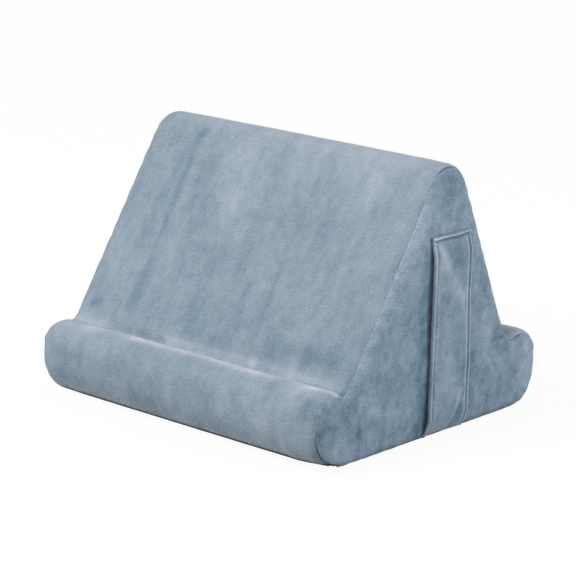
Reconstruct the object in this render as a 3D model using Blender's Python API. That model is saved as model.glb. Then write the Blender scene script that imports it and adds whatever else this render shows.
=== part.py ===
"""Tablet cushion stand: a foam wedge in a sewn velvet cover, with a carry strap on one end.

Metres, +Z up. +X runs along the front roll, towards the end that has the strap. The tablet
leans on the long slope, which faces -Y, and stands behind the roll. The origin is the
centre of the base, on the surface that the stand rests on.
"""

import math

import bmesh
import bpy

# Overall size
WIDTH = 0.300
RIDGE_HEIGHT = 0.2064
END_RADIUS = 0.0115

# Front roll
ROLL_BOTTOM_RADIUS = 0.0266
ROLL_FRONT_FLAT = 0.0155
ROLL_TOP_RADIUS = 0.0141
ROLL_TOP_FLAT = 0.0103
ROLL_TOP_FALL = 6.2

# Tablet seat and slope
SEAT_RADIUS = 0.010
SLOPE_ANGLE = 56.5
RIDGE_RADIUS = 0.0222

# Back slope and rear ledge
BACK_ANGLE = 69.0
STEP_HEIGHT = 0.0564
STEP_RADIUS = 0.006
LEDGE_RISE = 15.7
LEDGE_TOP_FLAT = 0.0057
LEDGE_TOP_RADIUS = 0.018
LEDGE_BOTTOM_RADIUS = 0.028

# Cover
COVER_WALL = 0.0020
BASE_LAP = 0.0060
SEAM_ANGLE = 33.0
SEAM_GAP = 0.0004
FIT_GAP = 0.0003

# Carry strap
STRAP_WIDTH = 0.0445
STRAP_THICKNESS = 0.0026
STRAP_END_THICKNESS = 0.0014
STRAP_DROP = 0.0505
STRAP_SHIFT = -0.0014
STRAP_LEAN = 0.0068
STRAP_BOW = 0.0021
STRAP_BOW_RUN = 0.013
STRAP_HEM = 0.0030
STRAP_HEM_DIP = 0.0009
STRAP_EDGE = 0.0008
STRAP_SEAM_MARGIN = 5.0

# Fineness of the faceted surfaces
DEGREES_PER_FACET = 12.0
END_FACETS = 4
SEAM_FACETS = 2
STRAP_FACET = 0.007

# Smallest fillet that the end rounding leaves on the outline's convex corners
LEAST_FILLET = 0.0010
END_ROUND = min(END_RADIUS, ROLL_TOP_RADIUS - LEAST_FILLET, LEDGE_TOP_RADIUS - LEAST_FILLET)

# Colours, as linear red, green and blue
VELVET_BLUE = (0.235, 0.330, 0.400)
BASE_BLUE = (0.150, 0.210, 0.260)
FOAM_WHITE = (0.780, 0.760, 0.680)


class Outline:
    """A path in the side view: points (y, z), each with its outward normal.

    A heading is an angle from +Y towards +Z. The cushion lies on the path's right hand.
    """

    def __init__(self, z, heading):
        self.y = 0.0
        self.z = z
        self.heading = heading
        self.points = []
        self.add_point()

    def add_point(self):
        angle = math.radians(self.heading)
        self.points.append((self.y, self.z, -math.sin(angle), math.cos(angle)))

    def run(self, length):
        """Go straight on."""
        angle = math.radians(self.heading)
        self.y += length * math.cos(angle)
        self.z += length * math.sin(angle)
        self.add_point()

    def turn(self, radius, degrees):
        """Follow an arc: to the right for a convex corner, or to the left if degrees is below 0."""
        side = math.copysign(radius, degrees)
        angle = math.radians(self.heading)
        centre_y = self.y + side * math.sin(angle)
        centre_z = self.z - side * math.cos(angle)
        steps = max(1, round(abs(degrees) / DEGREES_PER_FACET))
        start = self.heading
        for step in range(1, steps + 1):
            self.heading = start - degrees * step / steps
            angle = math.radians(self.heading)
            self.y = centre_y - side * math.sin(angle)
            self.z = centre_z + side * math.cos(angle)
            self.add_point()
        return centre_y, centre_z

    def skip(self, radius, length):
        """Go on along an arc without a point at its start, and begin a new piece there."""
        done = self.points
        self.turn(radius, math.degrees(length / radius))
        self.points = []
        self.add_point()
        return done


def rise(share):
    """A smooth step from 0 to 1, as share goes from 0 to 1."""
    share = min(max(share, 0.0), 1.0)
    return share * share * (3.0 - 2.0 * share)


def cushion_outline():
    """The side view as two open paths, the cover strip's and the base's, and the ridge's middle.

    The cover strip's path starts at the front base seam, goes up round the roll, over the
    ridge and the ledge, and down to the rear base seam. The base's path closes the loop.
    """
    front_lap = math.degrees(BASE_LAP / ROLL_BOTTOM_RADIUS)
    rear_lap = math.degrees(BASE_LAP / LEDGE_BOTTOM_RADIUS)
    start_z = ROLL_BOTTOM_RADIUS * (1.0 - math.cos(math.radians(front_lap)))
    path = Outline(start_z, 180.0 - front_lap)
    start_y = path.y
    path.turn(ROLL_BOTTOM_RADIUS, 90.0 - front_lap)
    front_y = path.y
    path.run(ROLL_FRONT_FLAT)
    path.turn(ROLL_TOP_RADIUS, 90.0 + ROLL_TOP_FALL)
    path.run(ROLL_TOP_FLAT)
    path.turn(SEAT_RADIUS, -ROLL_TOP_FALL - SLOPE_ANGLE)

    slope = math.radians(SLOPE_ANGLE)
    ridge_rise = RIDGE_RADIUS * (1.0 - math.cos(slope))
    path.run((RIDGE_HEIGHT - ridge_rise - path.z) / math.sin(slope))
    ridge_y, _ = path.turn(RIDGE_RADIUS, SLOPE_ANGLE + BACK_ANGLE)

    back = math.radians(BACK_ANGLE)
    step_rise = STEP_RADIUS * (1.0 - math.cos(back))
    path.run((path.z - STEP_HEIGHT - step_rise) / math.sin(back))
    path.turn(STEP_RADIUS, -BACK_ANGLE - LEDGE_RISE)
    path.run(LEDGE_TOP_FLAT)
    path.turn(LEDGE_TOP_RADIUS, LEDGE_RISE + 90.0)
    rear_y = path.y
    path.run(path.z - LEDGE_BOTTOM_RADIUS)
    path.turn(LEDGE_BOTTOM_RADIUS, 90.0 - rear_lap)

    cover = path.skip(LEDGE_BOTTOM_RADIUS, SEAM_GAP)
    path.turn(LEDGE_BOTTOM_RADIUS, rear_lap - math.degrees(SEAM_GAP / LEDGE_BOTTOM_RADIUS))
    front_tangent = start_y + ROLL_BOTTOM_RADIUS * math.sin(math.radians(front_lap))
    path.run(path.y - front_tangent)
    path.turn(ROLL_BOTTOM_RADIUS, front_lap - math.degrees(SEAM_GAP / ROLL_BOTTOM_RADIUS))
    base = path.points

    middle = (front_y + rear_y) / 2.0
    centred = [[(y - middle, z, ny, nz) for y, z, ny, nz in piece] for piece in (cover, base)]
    return centred[0], centred[1], ridge_y - middle


def end_ring(points, degrees, depth, side=1):
    """The outline's points on the rounded end, depth below the outer surface.

    At 0 degrees the rounding starts and at 90 it meets the flat end. Side is 1 for the +X
    end and -1 for the other.
    """
    angle = math.radians(degrees)
    radius = END_ROUND - depth
    x = side * (WIDTH / 2.0 - END_ROUND + radius * math.sin(angle))
    inset = END_ROUND - radius * math.cos(angle)
    return [(x, y - inset * ny, z - inset * nz) for y, z, ny, nz in points]


def strip_rings(points, depth, seam_degrees):
    """Rings from the -X end seam to the +X end seam, with the rounding's first degrees at each."""
    angles = [seam_degrees * step / SEAM_FACETS for step in range(SEAM_FACETS + 1)]
    left = [end_ring(points, degrees, depth, -1) for degrees in reversed(angles)]
    right = [end_ring(points, degrees, depth, 1) for degrees in angles]
    return left + right


def add_grid(mesh, rings, closed):
    """Add the rings' points and the faces between them, and give the rows of vertices."""
    rows = [[mesh.verts.new(point) for point in ring] for ring in rings]
    count = len(rings[0])
    last = count if closed else count - 1
    for near, far in zip(rows, rows[1:]):
        for index in range(last):
            following = (index + 1) % count
            mesh.faces.new((near[index], near[following], far[following], far[index]))
    return rows


def join_edges(mesh, first, second, closed):
    """Bridge two rows of as many vertices with one band of faces."""
    count = len(first)
    last = count if closed else count - 1
    for index in range(last):
        following = (index + 1) % count
        mesh.faces.new((first[index], first[following], second[following], second[index]))


def finish_object(name, mesh, material):
    """Point the faces out, and put the mesh into a named object with its material."""
    bmesh.ops.recalc_face_normals(mesh, faces=mesh.faces)
    data = bpy.data.meshes.new(name)
    mesh.to_mesh(data)
    mesh.free()
    data.materials.append(material)
    data.shade_smooth()
    data.set_sharp_from_angle(angle=math.radians(35.0))
    made = bpy.data.objects.new(name, data)
    bpy.context.scene.collection.objects.link(made)
    return made


def fabric_material(name, colour, roughness):
    """A Principled material for cloth or foam."""
    material = bpy.data.materials.new(name)
    material.use_nodes = True
    material.diffuse_color = (*colour, 1.0)
    shader = material.node_tree.nodes["Principled BSDF"]
    shader.inputs["Base Color"].default_value = (*colour, 1.0)
    shader.inputs["Roughness"].default_value = roughness
    shader.inputs["Metallic"].default_value = 0.0
    return material


def build_panel_strip(name, points, colour):
    """A cloth strip of the cover's wall along an open part of the outline, up to the end seams."""
    half_gap = math.degrees(SEAM_GAP / 2.0 / END_ROUND)
    mesh = bmesh.new()
    outer = add_grid(mesh, strip_rings(points, 0.0, SEAM_ANGLE - half_gap), False)
    inner = add_grid(mesh, strip_rings(points, COVER_WALL, SEAM_ANGLE - half_gap), False)
    join_edges(mesh, outer[0], inner[0], False)
    join_edges(mesh, outer[-1], inner[-1], False)
    join_edges(mesh, [row[0] for row in outer], [row[0] for row in inner], False)
    join_edges(mesh, [row[-1] for row in outer], [row[-1] for row in inner], False)
    return finish_object(name, mesh, fabric_material(name, colour, 0.9))


def build_end_panel(name, loop, side):
    """A flat end panel with its rim turned in over the rounding, as far as the end seam."""
    half_gap = math.degrees(SEAM_GAP / 2.0 / END_ROUND)
    first = SEAM_ANGLE + half_gap
    angles = [first + (90.0 - first) * step / END_FACETS for step in range(END_FACETS + 1)]
    mesh = bmesh.new()
    outer = add_grid(mesh, [end_ring(loop, degrees, 0.0, side) for degrees in angles], True)
    inner = add_grid(mesh, [end_ring(loop, degrees, COVER_WALL, side) for degrees in angles], True)
    join_edges(mesh, outer[0], inner[0], True)
    mesh.faces.new(outer[-1])
    mesh.faces.new(inner[-1])
    return finish_object(name, mesh, fabric_material(name, VELVET_BLUE, 0.9))


def build_foam_core(loop):
    """The solid foam wedge, a fit gap inside the cover all round."""
    depth = COVER_WALL + FIT_GAP
    angles = [90.0 * step / END_FACETS for step in range(END_FACETS + 1)]
    left = [end_ring(loop, degrees, depth, -1) for degrees in reversed(angles)]
    right = [end_ring(loop, degrees, depth, 1) for degrees in angles]
    mesh = bmesh.new()
    rows = add_grid(mesh, left + right, True)
    mesh.faces.new(rows[0])
    mesh.faces.new(rows[-1])
    return finish_object("foam_core", mesh, fabric_material("foam_core", FOAM_WHITE, 0.95))


def strap_station(distance, straight):
    """Where the strap lies on the end panel: a point (x, z) and its outward normal (x, z).

    Distance runs down from the strap's top edge: straight down the flat end first, then
    round the lower end rounding.
    """
    if distance <= straight:
        return WIDTH / 2.0, END_ROUND + straight - distance, 1.0, 0.0
    angle = math.pi / 2.0 - (distance - straight) / END_ROUND
    x = WIDTH / 2.0 - END_ROUND + END_ROUND * math.sin(angle)
    z = END_ROUND - END_ROUND * math.cos(angle)
    return x, z, math.sin(angle), -math.cos(angle)


def strap_thickness(distance, length):
    """Full in the strap's run, pressed thin at its hem stitching and at the base seam."""
    hem = math.exp(-((distance - STRAP_HEM) / (STRAP_HEM / 2.0)) ** 2)
    pressed = 1.0 - rise((length - distance) / STRAP_BOW_RUN)
    thin = (STRAP_THICKNESS - STRAP_END_THICKNESS) * pressed
    return STRAP_THICKNESS - STRAP_HEM_DIP * hem - thin


def build_carry_strap(ridge_y):
    """A doubled velvet band: sewn to the end panel at its top, held by the base seam below.

    Between its two ends it stands a little way off the panel, with its sides open.
    """
    top_y = ridge_y + STRAP_SHIFT
    straight = RIDGE_HEIGHT - STRAP_DROP - END_ROUND
    length = straight + END_ROUND * math.radians(90.0 - SEAM_ANGLE - STRAP_SEAM_MARGIN)
    steps = round(length / STRAP_FACET)
    hem_stops = [STRAP_HEM * share for share in (0.0, 0.5, 1.0, 1.5)]
    even_stops = [length * step / steps for step in range(1, steps + 1)]
    stops = hem_stops + [stop for stop in even_stops if stop > STRAP_HEM * 2.0]

    rings = []
    for stop in stops:
        x, z, nx, nz = strap_station(stop, straight)
        off = rise((stop - STRAP_HEM) / STRAP_BOW_RUN) * rise((length - stop) / STRAP_BOW_RUN)
        back = FIT_GAP + STRAP_BOW * off
        front = back + strap_thickness(stop, length)
        middle = top_y - STRAP_LEAN * stop / length
        half = STRAP_WIDTH / 2.0
        edge = min(STRAP_EDGE, (front - back) / 3.0)
        corners = (
            (-half + edge, back), (half - edge, back), (half, back + edge), (half, front - edge),
            (half - edge, front), (-half + edge, front), (-half, front - edge), (-half, back + edge),
        )
        rings.append([(x + nx * out, middle + across, z + nz * out) for across, out in corners])

    mesh = bmesh.new()
    rows = add_grid(mesh, rings, True)
    mesh.faces.new(rows[0])
    mesh.faces.new(rows[-1])
    return finish_object("carry_strap", mesh, fabric_material("carry_strap", VELVET_BLUE, 0.9))


def main():
    for old in list(bpy.data.objects):
        bpy.data.objects.remove(old, do_unlink=True)
    cover, base, ridge_y = cushion_outline()
    loop = cover + base
    build_foam_core(loop)
    build_panel_strip("cover_wrap", cover, VELVET_BLUE)
    build_panel_strip("base_panel", base, BASE_BLUE)
    build_end_panel("end_panel_left", loop, -1)
    build_end_panel("end_panel_right", loop, 1)
    build_carry_strap(ridge_y)


main()
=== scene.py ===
import math
from functools import lru_cache

import bpy
import numpy as np
from mathutils import Matrix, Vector
from mathutils.geometry import delaunay_2d_cdt


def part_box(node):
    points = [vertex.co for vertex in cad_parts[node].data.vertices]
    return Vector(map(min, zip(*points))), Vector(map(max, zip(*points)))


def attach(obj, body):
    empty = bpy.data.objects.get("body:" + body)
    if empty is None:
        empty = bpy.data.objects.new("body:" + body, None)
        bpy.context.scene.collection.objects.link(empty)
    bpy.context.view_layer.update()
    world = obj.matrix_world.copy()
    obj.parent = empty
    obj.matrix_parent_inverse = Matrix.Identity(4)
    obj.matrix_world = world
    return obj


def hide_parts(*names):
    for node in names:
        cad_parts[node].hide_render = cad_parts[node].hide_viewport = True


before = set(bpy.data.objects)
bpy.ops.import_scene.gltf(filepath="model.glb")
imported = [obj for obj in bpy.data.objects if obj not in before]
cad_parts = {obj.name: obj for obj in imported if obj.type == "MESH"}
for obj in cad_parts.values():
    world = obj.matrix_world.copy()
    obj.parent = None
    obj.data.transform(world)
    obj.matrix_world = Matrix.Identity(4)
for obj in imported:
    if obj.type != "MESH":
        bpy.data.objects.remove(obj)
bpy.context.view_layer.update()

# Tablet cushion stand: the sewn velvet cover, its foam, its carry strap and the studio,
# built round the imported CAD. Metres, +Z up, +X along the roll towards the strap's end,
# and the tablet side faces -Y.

bl_info = {
    "name": "Tablet Cushion Stand",
    "version": (1, 0, 0),
    "blender": (4, 5, 0),
    "location": "View3D > Sidebar > Tablet Cushion",
    "description": "Builds a foam tablet stand in a sewn velvet cover, piece by piece",
    "category": "Add Mesh",
}

BODY = "root"

# Cover outline in the side view
ROLL_BOTTOM_RADIUS = 0.0266
ROLL_FRONT_FLAT = 0.0155
ROLL_TOP_RADIUS = 0.0141
ROLL_TOP_FLAT = 0.0103
ROLL_TOP_FALL = math.radians(6.2)
SEAT_RADIUS = 0.010
SLOPE_ANGLE = math.radians(56.5)
RIDGE_RADIUS = 0.0222
BACK_ANGLE = math.radians(69.0)
STEP_HEIGHT = 0.0564
STEP_RADIUS = 0.006
LEDGE_RISE = math.radians(15.7)
LEDGE_TOP_FLAT = 0.0057
LEDGE_TOP_RADIUS = 0.018
LEDGE_BOTTOM_RADIUS = 0.028
BASE_LAP = 0.0060
OUTLINE_STEP = 0.0001
OUTLINE_SOFTNESS = 0.0018

# Rounded ends and end seams
END_RADIUS = 0.0115
RIDGE_END_EXTRA = 0.0010
RIDGE_END_SPREAD = 0.028
LEDGE_END_LESS = 0.0035
LEDGE_END_SPREAD = 0.030
BASE_END_LESS = 0.0032
BASE_END_FADE = 0.030
BASE_FRONT_FADE = 0.012
SEAM_TURN = math.radians(33.0)
SEAM_GAP = 0.00002

# How far the painted shade just above the floor and the painted contact shade reach up
FLOOR_SHADE = -2.0
FLOOR_SHADE_HEIGHT = 0.0050
CONTACT_FADE = 0.35
COVER_CONTACT = 0.0076
PANEL_CONTACT = 0.0038

QUARTER = math.pi / 2.0
WAVES = 22
WAVE_LENGTHS = (0.7, 1.4)
TINY = 1e-12
DENSITY_STOPS = 4001
BLUR_REACH = 4.0


def smooth_step(share):
    """Rise from 0 to 1 as share does: share^2 (3 - 2 share)."""
    share = np.clip(share, 0.0, 1.0)
    return share * share * (3.0 - 2.0 * share)


def ripples(first, second, wavelength, seed, stretch=1.0):
    """A smooth field of lumps, mostly from -1 to 1, over two surface coordinates.

    It is the sum of WAVES cosines with seeded directions, phases and wavelengths near the
    given one, divided by sqrt(WAVES / 2). Stretch above 1 shortens it along the second.
    """
    draw = np.random.default_rng(seed)
    turns = draw.uniform(0.0, 2.0 * math.pi, WAVES)
    phases = draw.uniform(0.0, 2.0 * math.pi, WAVES)
    pitches = 2.0 * math.pi / (wavelength * draw.uniform(*WAVE_LENGTHS, WAVES))
    field = np.zeros(np.broadcast(first, second).shape)
    for turn, phase, pitch in zip(turns, phases, pitches):
        reach = first * math.cos(turn) + second * (math.sin(turn) * stretch)
        field += np.cos(pitch * reach + phase)
    return field / math.sqrt(WAVES / 2.0)


def bell(distance, width):
    """exp(-(distance / width)^2)."""
    return np.exp(-(distance / width) ** 2)


def line_at(value, place, width, height):
    """A line's height at a value: height exp(-((value - place) / width)^2)."""
    return height * bell(value - place, width)


def lump_field(first, second, lumps, seed=0):
    """The sum of ripples, each given as (height, wavelength, own seed, stretch)."""
    return sum(
        height * ripples(first, second, wavelength, seed + own, stretch)
        for height, wavelength, own, stretch in lumps
    )


def line_mark(first, second, start, end, width):
    """exp(-(gap / width)^2), where gap is the distance to the line from start to end."""
    run_first = end[0] - start[0]
    run_second = end[1] - start[1]
    length_squared = max(run_first ** 2 + run_second ** 2, TINY)
    share = ((first - start[0]) * run_first + (second - start[1]) * run_second) / length_squared
    share = np.clip(share, 0.0, 1.0)
    gap_first = first - start[0] - share * run_first
    gap_second = second - start[1] - share * run_second
    return np.exp(-(gap_first ** 2 + gap_second ** 2) / width ** 2)


def floor_shade(z):
    """Painted shade just above the floor: FLOOR_SHADE exp(-(z / FLOOR_SHADE_HEIGHT)^2)."""
    return FLOOR_SHADE * bell(z, FLOOR_SHADE_HEIGHT)


def contact_shade(z, top):
    """A painted contact shade where the cushion meets the floor: 1 low down, and 0 from its top upwards.
    """
    return smooth_step((top - z) / (CONTACT_FADE * top))


def marks_field(first, second, marks):
    """The sum of line marks, each given as (start, end, width, height)."""
    field = np.zeros(np.broadcast(first, second).shape)
    for start, end, width, height in marks:
        field += height * line_mark(first, second, start, end, width)
    return field


def graded_stops(start, end, coarse, spots):
    """Stops from start to end that crowd at the spots, each given as (place, spread, step).

    The density is 1 / coarse, raised towards 1 / step by a bell at each spot. Its running
    sum is cut into equal shares.
    """
    places = np.linspace(start, end, DENSITY_STOPS)
    density = np.full(places.shape, 1.0 / coarse)
    for place, spread, step in spots:
        raised = (1.0 / step - 1.0 / coarse) * bell(places - place, spread)
        density = np.maximum(density, 1.0 / coarse + raised)
    widths = (density[1:] + density[:-1]) * (places[1] - places[0]) / 2.0
    total = np.concatenate(([0.0], np.cumsum(widths)))
    count = int(round(total[-1])) + 1
    return np.interp(np.linspace(0.0, total[-1], count), total, places)


def stops_between(start, end, coarse, spread, step):
    """Stops that crowd at the start and at the end alike."""
    return graded_stops(start, end, coarse, ((start, spread, step), (end, spread, step)))


class Outline:
    """The cushion's closed side outline, by arc length from the front base seam.

    Heading is the sum of the runs' turns over arc length, blurred by OUTLINE_SOFTNESS, and
    a point is the running sum of (cos heading, sin heading). The outward normal is
    (-sin heading, cos heading).
    """

    def __init__(self, ridge_height):
        front_lap = BASE_LAP / ROLL_BOTTOM_RADIUS
        rear_lap = BASE_LAP / LEDGE_BOTTOM_RADIUS
        seat_end = (
            ROLL_BOTTOM_RADIUS + ROLL_FRONT_FLAT + ROLL_TOP_RADIUS * math.cos(ROLL_TOP_FALL)
            - ROLL_TOP_FLAT * math.sin(ROLL_TOP_FALL)
            + SEAT_RADIUS * (math.cos(ROLL_TOP_FALL) - math.cos(SLOPE_ANGLE))
        )
        slope_end = ridge_height - RIDGE_RADIUS * (1.0 - math.cos(SLOPE_ANGLE))
        back_start = ridge_height - RIDGE_RADIUS * (1.0 - math.cos(BACK_ANGLE))
        back_end = STEP_HEIGHT + STEP_RADIUS * (1.0 - math.cos(BACK_ANGLE))
        rear_top = (
            STEP_HEIGHT + STEP_RADIUS * (1.0 - math.cos(LEDGE_RISE))
            + LEDGE_TOP_FLAT * math.sin(LEDGE_RISE) - LEDGE_TOP_RADIUS * math.cos(LEDGE_RISE)
        )
        slope_run = (slope_end - seat_end) / math.sin(SLOPE_ANGLE)
        back_run = (back_start - back_end) / math.sin(BACK_ANGLE)
        turns = [
            (ROLL_BOTTOM_RADIUS, QUARTER - front_lap),
            (ROLL_FRONT_FLAT, 0.0),
            (ROLL_TOP_RADIUS, QUARTER + ROLL_TOP_FALL),
            (ROLL_TOP_FLAT, 0.0),
            (SEAT_RADIUS, -ROLL_TOP_FALL - SLOPE_ANGLE),
            (slope_run, 0.0),
            (RIDGE_RADIUS, SLOPE_ANGLE + BACK_ANGLE),
            (back_run, 0.0),
            (STEP_RADIUS, -BACK_ANGLE - LEDGE_RISE),
            (LEDGE_TOP_FLAT, 0.0),
            (LEDGE_TOP_RADIUS, LEDGE_RISE + QUARTER),
            (rear_top - LEDGE_BOTTOM_RADIUS, 0.0),
            (LEDGE_BOTTOM_RADIUS, QUARTER - rear_lap),
        ]
        depth = (
            ROLL_TOP_RADIUS * (1.0 + math.sin(ROLL_TOP_FALL))
            + ROLL_TOP_FLAT * math.cos(ROLL_TOP_FALL)
            + SEAT_RADIUS * (math.sin(ROLL_TOP_FALL) + math.sin(SLOPE_ANGLE))
            + slope_run * math.cos(SLOPE_ANGLE)
            + RIDGE_RADIUS * (math.sin(SLOPE_ANGLE) + math.sin(BACK_ANGLE))
            + back_run * math.cos(BACK_ANGLE)
            + STEP_RADIUS * (math.sin(BACK_ANGLE) + math.sin(LEDGE_RISE))
            + LEDGE_TOP_FLAT * math.cos(LEDGE_RISE)
            + LEDGE_TOP_RADIUS * (1.0 + math.sin(LEDGE_RISE))
        )
        turns += [
            (LEDGE_BOTTOM_RADIUS, rear_lap),
            (depth - ROLL_BOTTOM_RADIUS - LEDGE_BOTTOM_RADIUS, 0.0),
            (ROLL_BOTTOM_RADIUS, front_lap),
        ]
        lengths = np.array([size * abs(turn) if turn else size for size, turn in turns])
        ends = np.concatenate(([0.0], np.cumsum(lengths)))
        headings = math.pi - front_lap - np.cumsum([0.0] + [turn for _, turn in turns])
        self.cover_length = float(ends[13])
        self.perimeter = float(ends[-1])
        self.corners = ends
        self.ridge = float((ends[6] + ends[7]) / 2.0)

        count = int(round(self.perimeter / OUTLINE_STEP))
        self.along = np.linspace(0.0, self.perimeter, count + 1)
        heading = np.interp(self.along, ends, headings)
        reach = int(BLUR_REACH * OUTLINE_SOFTNESS / OUTLINE_STEP)
        offsets = np.arange(-reach, reach + 1) * OUTLINE_STEP
        weights = np.exp(-0.5 * (offsets / OUTLINE_SOFTNESS) ** 2)
        before = heading[-reach - 1:-1] + 2.0 * math.pi
        after = heading[1:reach + 1] - 2.0 * math.pi
        padded = np.concatenate((before, heading, after))
        heading = np.convolve(padded, weights / weights.sum(), mode="valid")

        step = self.perimeter / count
        middle = (heading[1:] + heading[:-1]) / 2.0
        y = np.concatenate(([0.0], np.cumsum(np.cos(middle)))) * step
        z = np.concatenate(([0.0], np.cumsum(np.sin(middle)))) * step
        share = self.along / self.perimeter
        y -= share * y[-1]
        z -= share * z[-1]
        self.y = y - (y.min() + y.max()) / 2.0
        self.z = z - z.min()
        self.normal_y = -np.sin(heading)
        self.normal_z = np.cos(heading)

    def at(self, along):
        """Points and outward normals (y, z, ny, nz) at the arc lengths."""
        place = np.mod(along, self.perimeter)
        return (
            np.interp(place, self.along, self.y), np.interp(place, self.along, self.z),
            np.interp(place, self.along, self.normal_y), np.interp(place, self.along, self.normal_z),
        )


def end_radius(outline, along):
    """The end rounding's radius: END_RADIUS, more at the ridge, and less at the ledge and base."""
    along = np.mod(along, outline.perimeter)
    ridge = bell(along - outline.ridge, RIDGE_END_SPREAD)
    ledge = bell(along - (outline.corners[9] + outline.corners[11]) / 2.0, LEDGE_END_SPREAD)
    before = smooth_step(1.0 - along / BASE_FRONT_FADE)
    after = smooth_step(1.0 - (outline.cover_length - along) / BASE_END_FADE)
    less = np.maximum(LEDGE_END_LESS * ledge, BASE_END_LESS * np.maximum(before, after))
    return END_RADIUS + RIDGE_END_EXTRA * ridge - less


def stack(x, y, z):
    """Three arrays as one array of points."""
    return np.stack(np.broadcast_arrays(x, y, z), axis=-1)


# The short cloth simulation that swells the cover and the end panels over the foam
SWELL_FRAMES = 20
SWELL_SETTINGS = {
    "quality": 5, "mass": 0.02, "tension_stiffness": 450.0, "compression_stiffness": 450.0,
    "shear_stiffness": 150.0, "bending_stiffness": 0.5, "air_damping": 1.0,
    "use_pressure": True, "uniform_pressure_force": 4.0, "vertex_group_mass": "held",
}
SWELL_SPACING = 0.0060
SWELL_CAP = 0.0017
SWELL_HELD = 0.0050
SEAT_HELD = 0.008
STEP_HELD = 0.009

# Relief of the cover strip, by arc length and by distance across from the middle. A line is
# given as (place, width, height), and lumps as (height, wavelength, seed, stretch).
SEAT_LINE = 0.0905
SEAT_WIDTH = 0.0036
SEAT_DEPTH = 0.0040
SEAT_LEAST = 0.05
SEAT_WOBBLE = ((0.0002, 0.060, 5, 1.0),)
LEFT_SOFT_RUN = 0.085
RIGHT_SOFT_START = 0.050
RIGHT_SOFT_RUN = 0.070
RIGHT_SOFT_LESS = 0.72
CREST_LINE = 0.0805
CREST_WIDTH = 0.0085
CREST = 0.0028
CREST_LEAST = 0.55
LEDGE_CROWN = 0.0026
LEDGE_CROWN_WIDTH = 0.015
LOW_FULLNESS = (0.0080, 0.0060, 0.0004)
LOW_FULLNESS_EDGE = 0.030
BASE_SEAM = (0.0, 0.0016, -0.0010)
COVER_LUMPS = ((0.00040, 0.070, 3, 1.0), (0.00014, 0.024, 4, 1.0))
LUMPS_RUN = 0.030
LUMPS_EDGE = 0.012
CREST_CALM = (0.084, 0.014, 0.90)
RIDGE_CALM = 0.85
RIDGE_CALM_WIDTH = 0.030
CORNER_LIFT = (0.0, 0.018, -0.0018)
CORNER_LIFT_RUN = 0.035
LEFT_PLUMP = 0.0026
PLUMP_PLACE = (-0.104, 0.0270)
PLUMP_SPREAD = (0.026, 0.0130)
PLUMP_START = 0.095
PLUMP_RUN = 0.050

# The end seams: their valley and their puckers, and how tight they pull along the outline
SEAM_DIVE = (0.0, 0.0006, -0.0016)
SEAM_TUCK = (0.0, 0.0028, -0.0009)
PUCKER = 0.00022
PUCKER_REACH = 0.0060
PUCKER_START = 0.0015
PUCKER_LENGTH = 0.0130
PUCKER_STRETCH = 0.25
COVER_SEAM_SEED = 6
BASE_SEAM_SEED = 8
FLAT_SEAM_SHARE = 0.06
LOW_ROLL_TOP = 0.026
LOW_ROLL_RUN = 0.020
LOW_LEDGE_SHARE = 0.4
LOW_LEDGE_RUN = 0.040
LEDGE_TOP_SEAM = (0.466, 0.014, 0.8)
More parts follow.
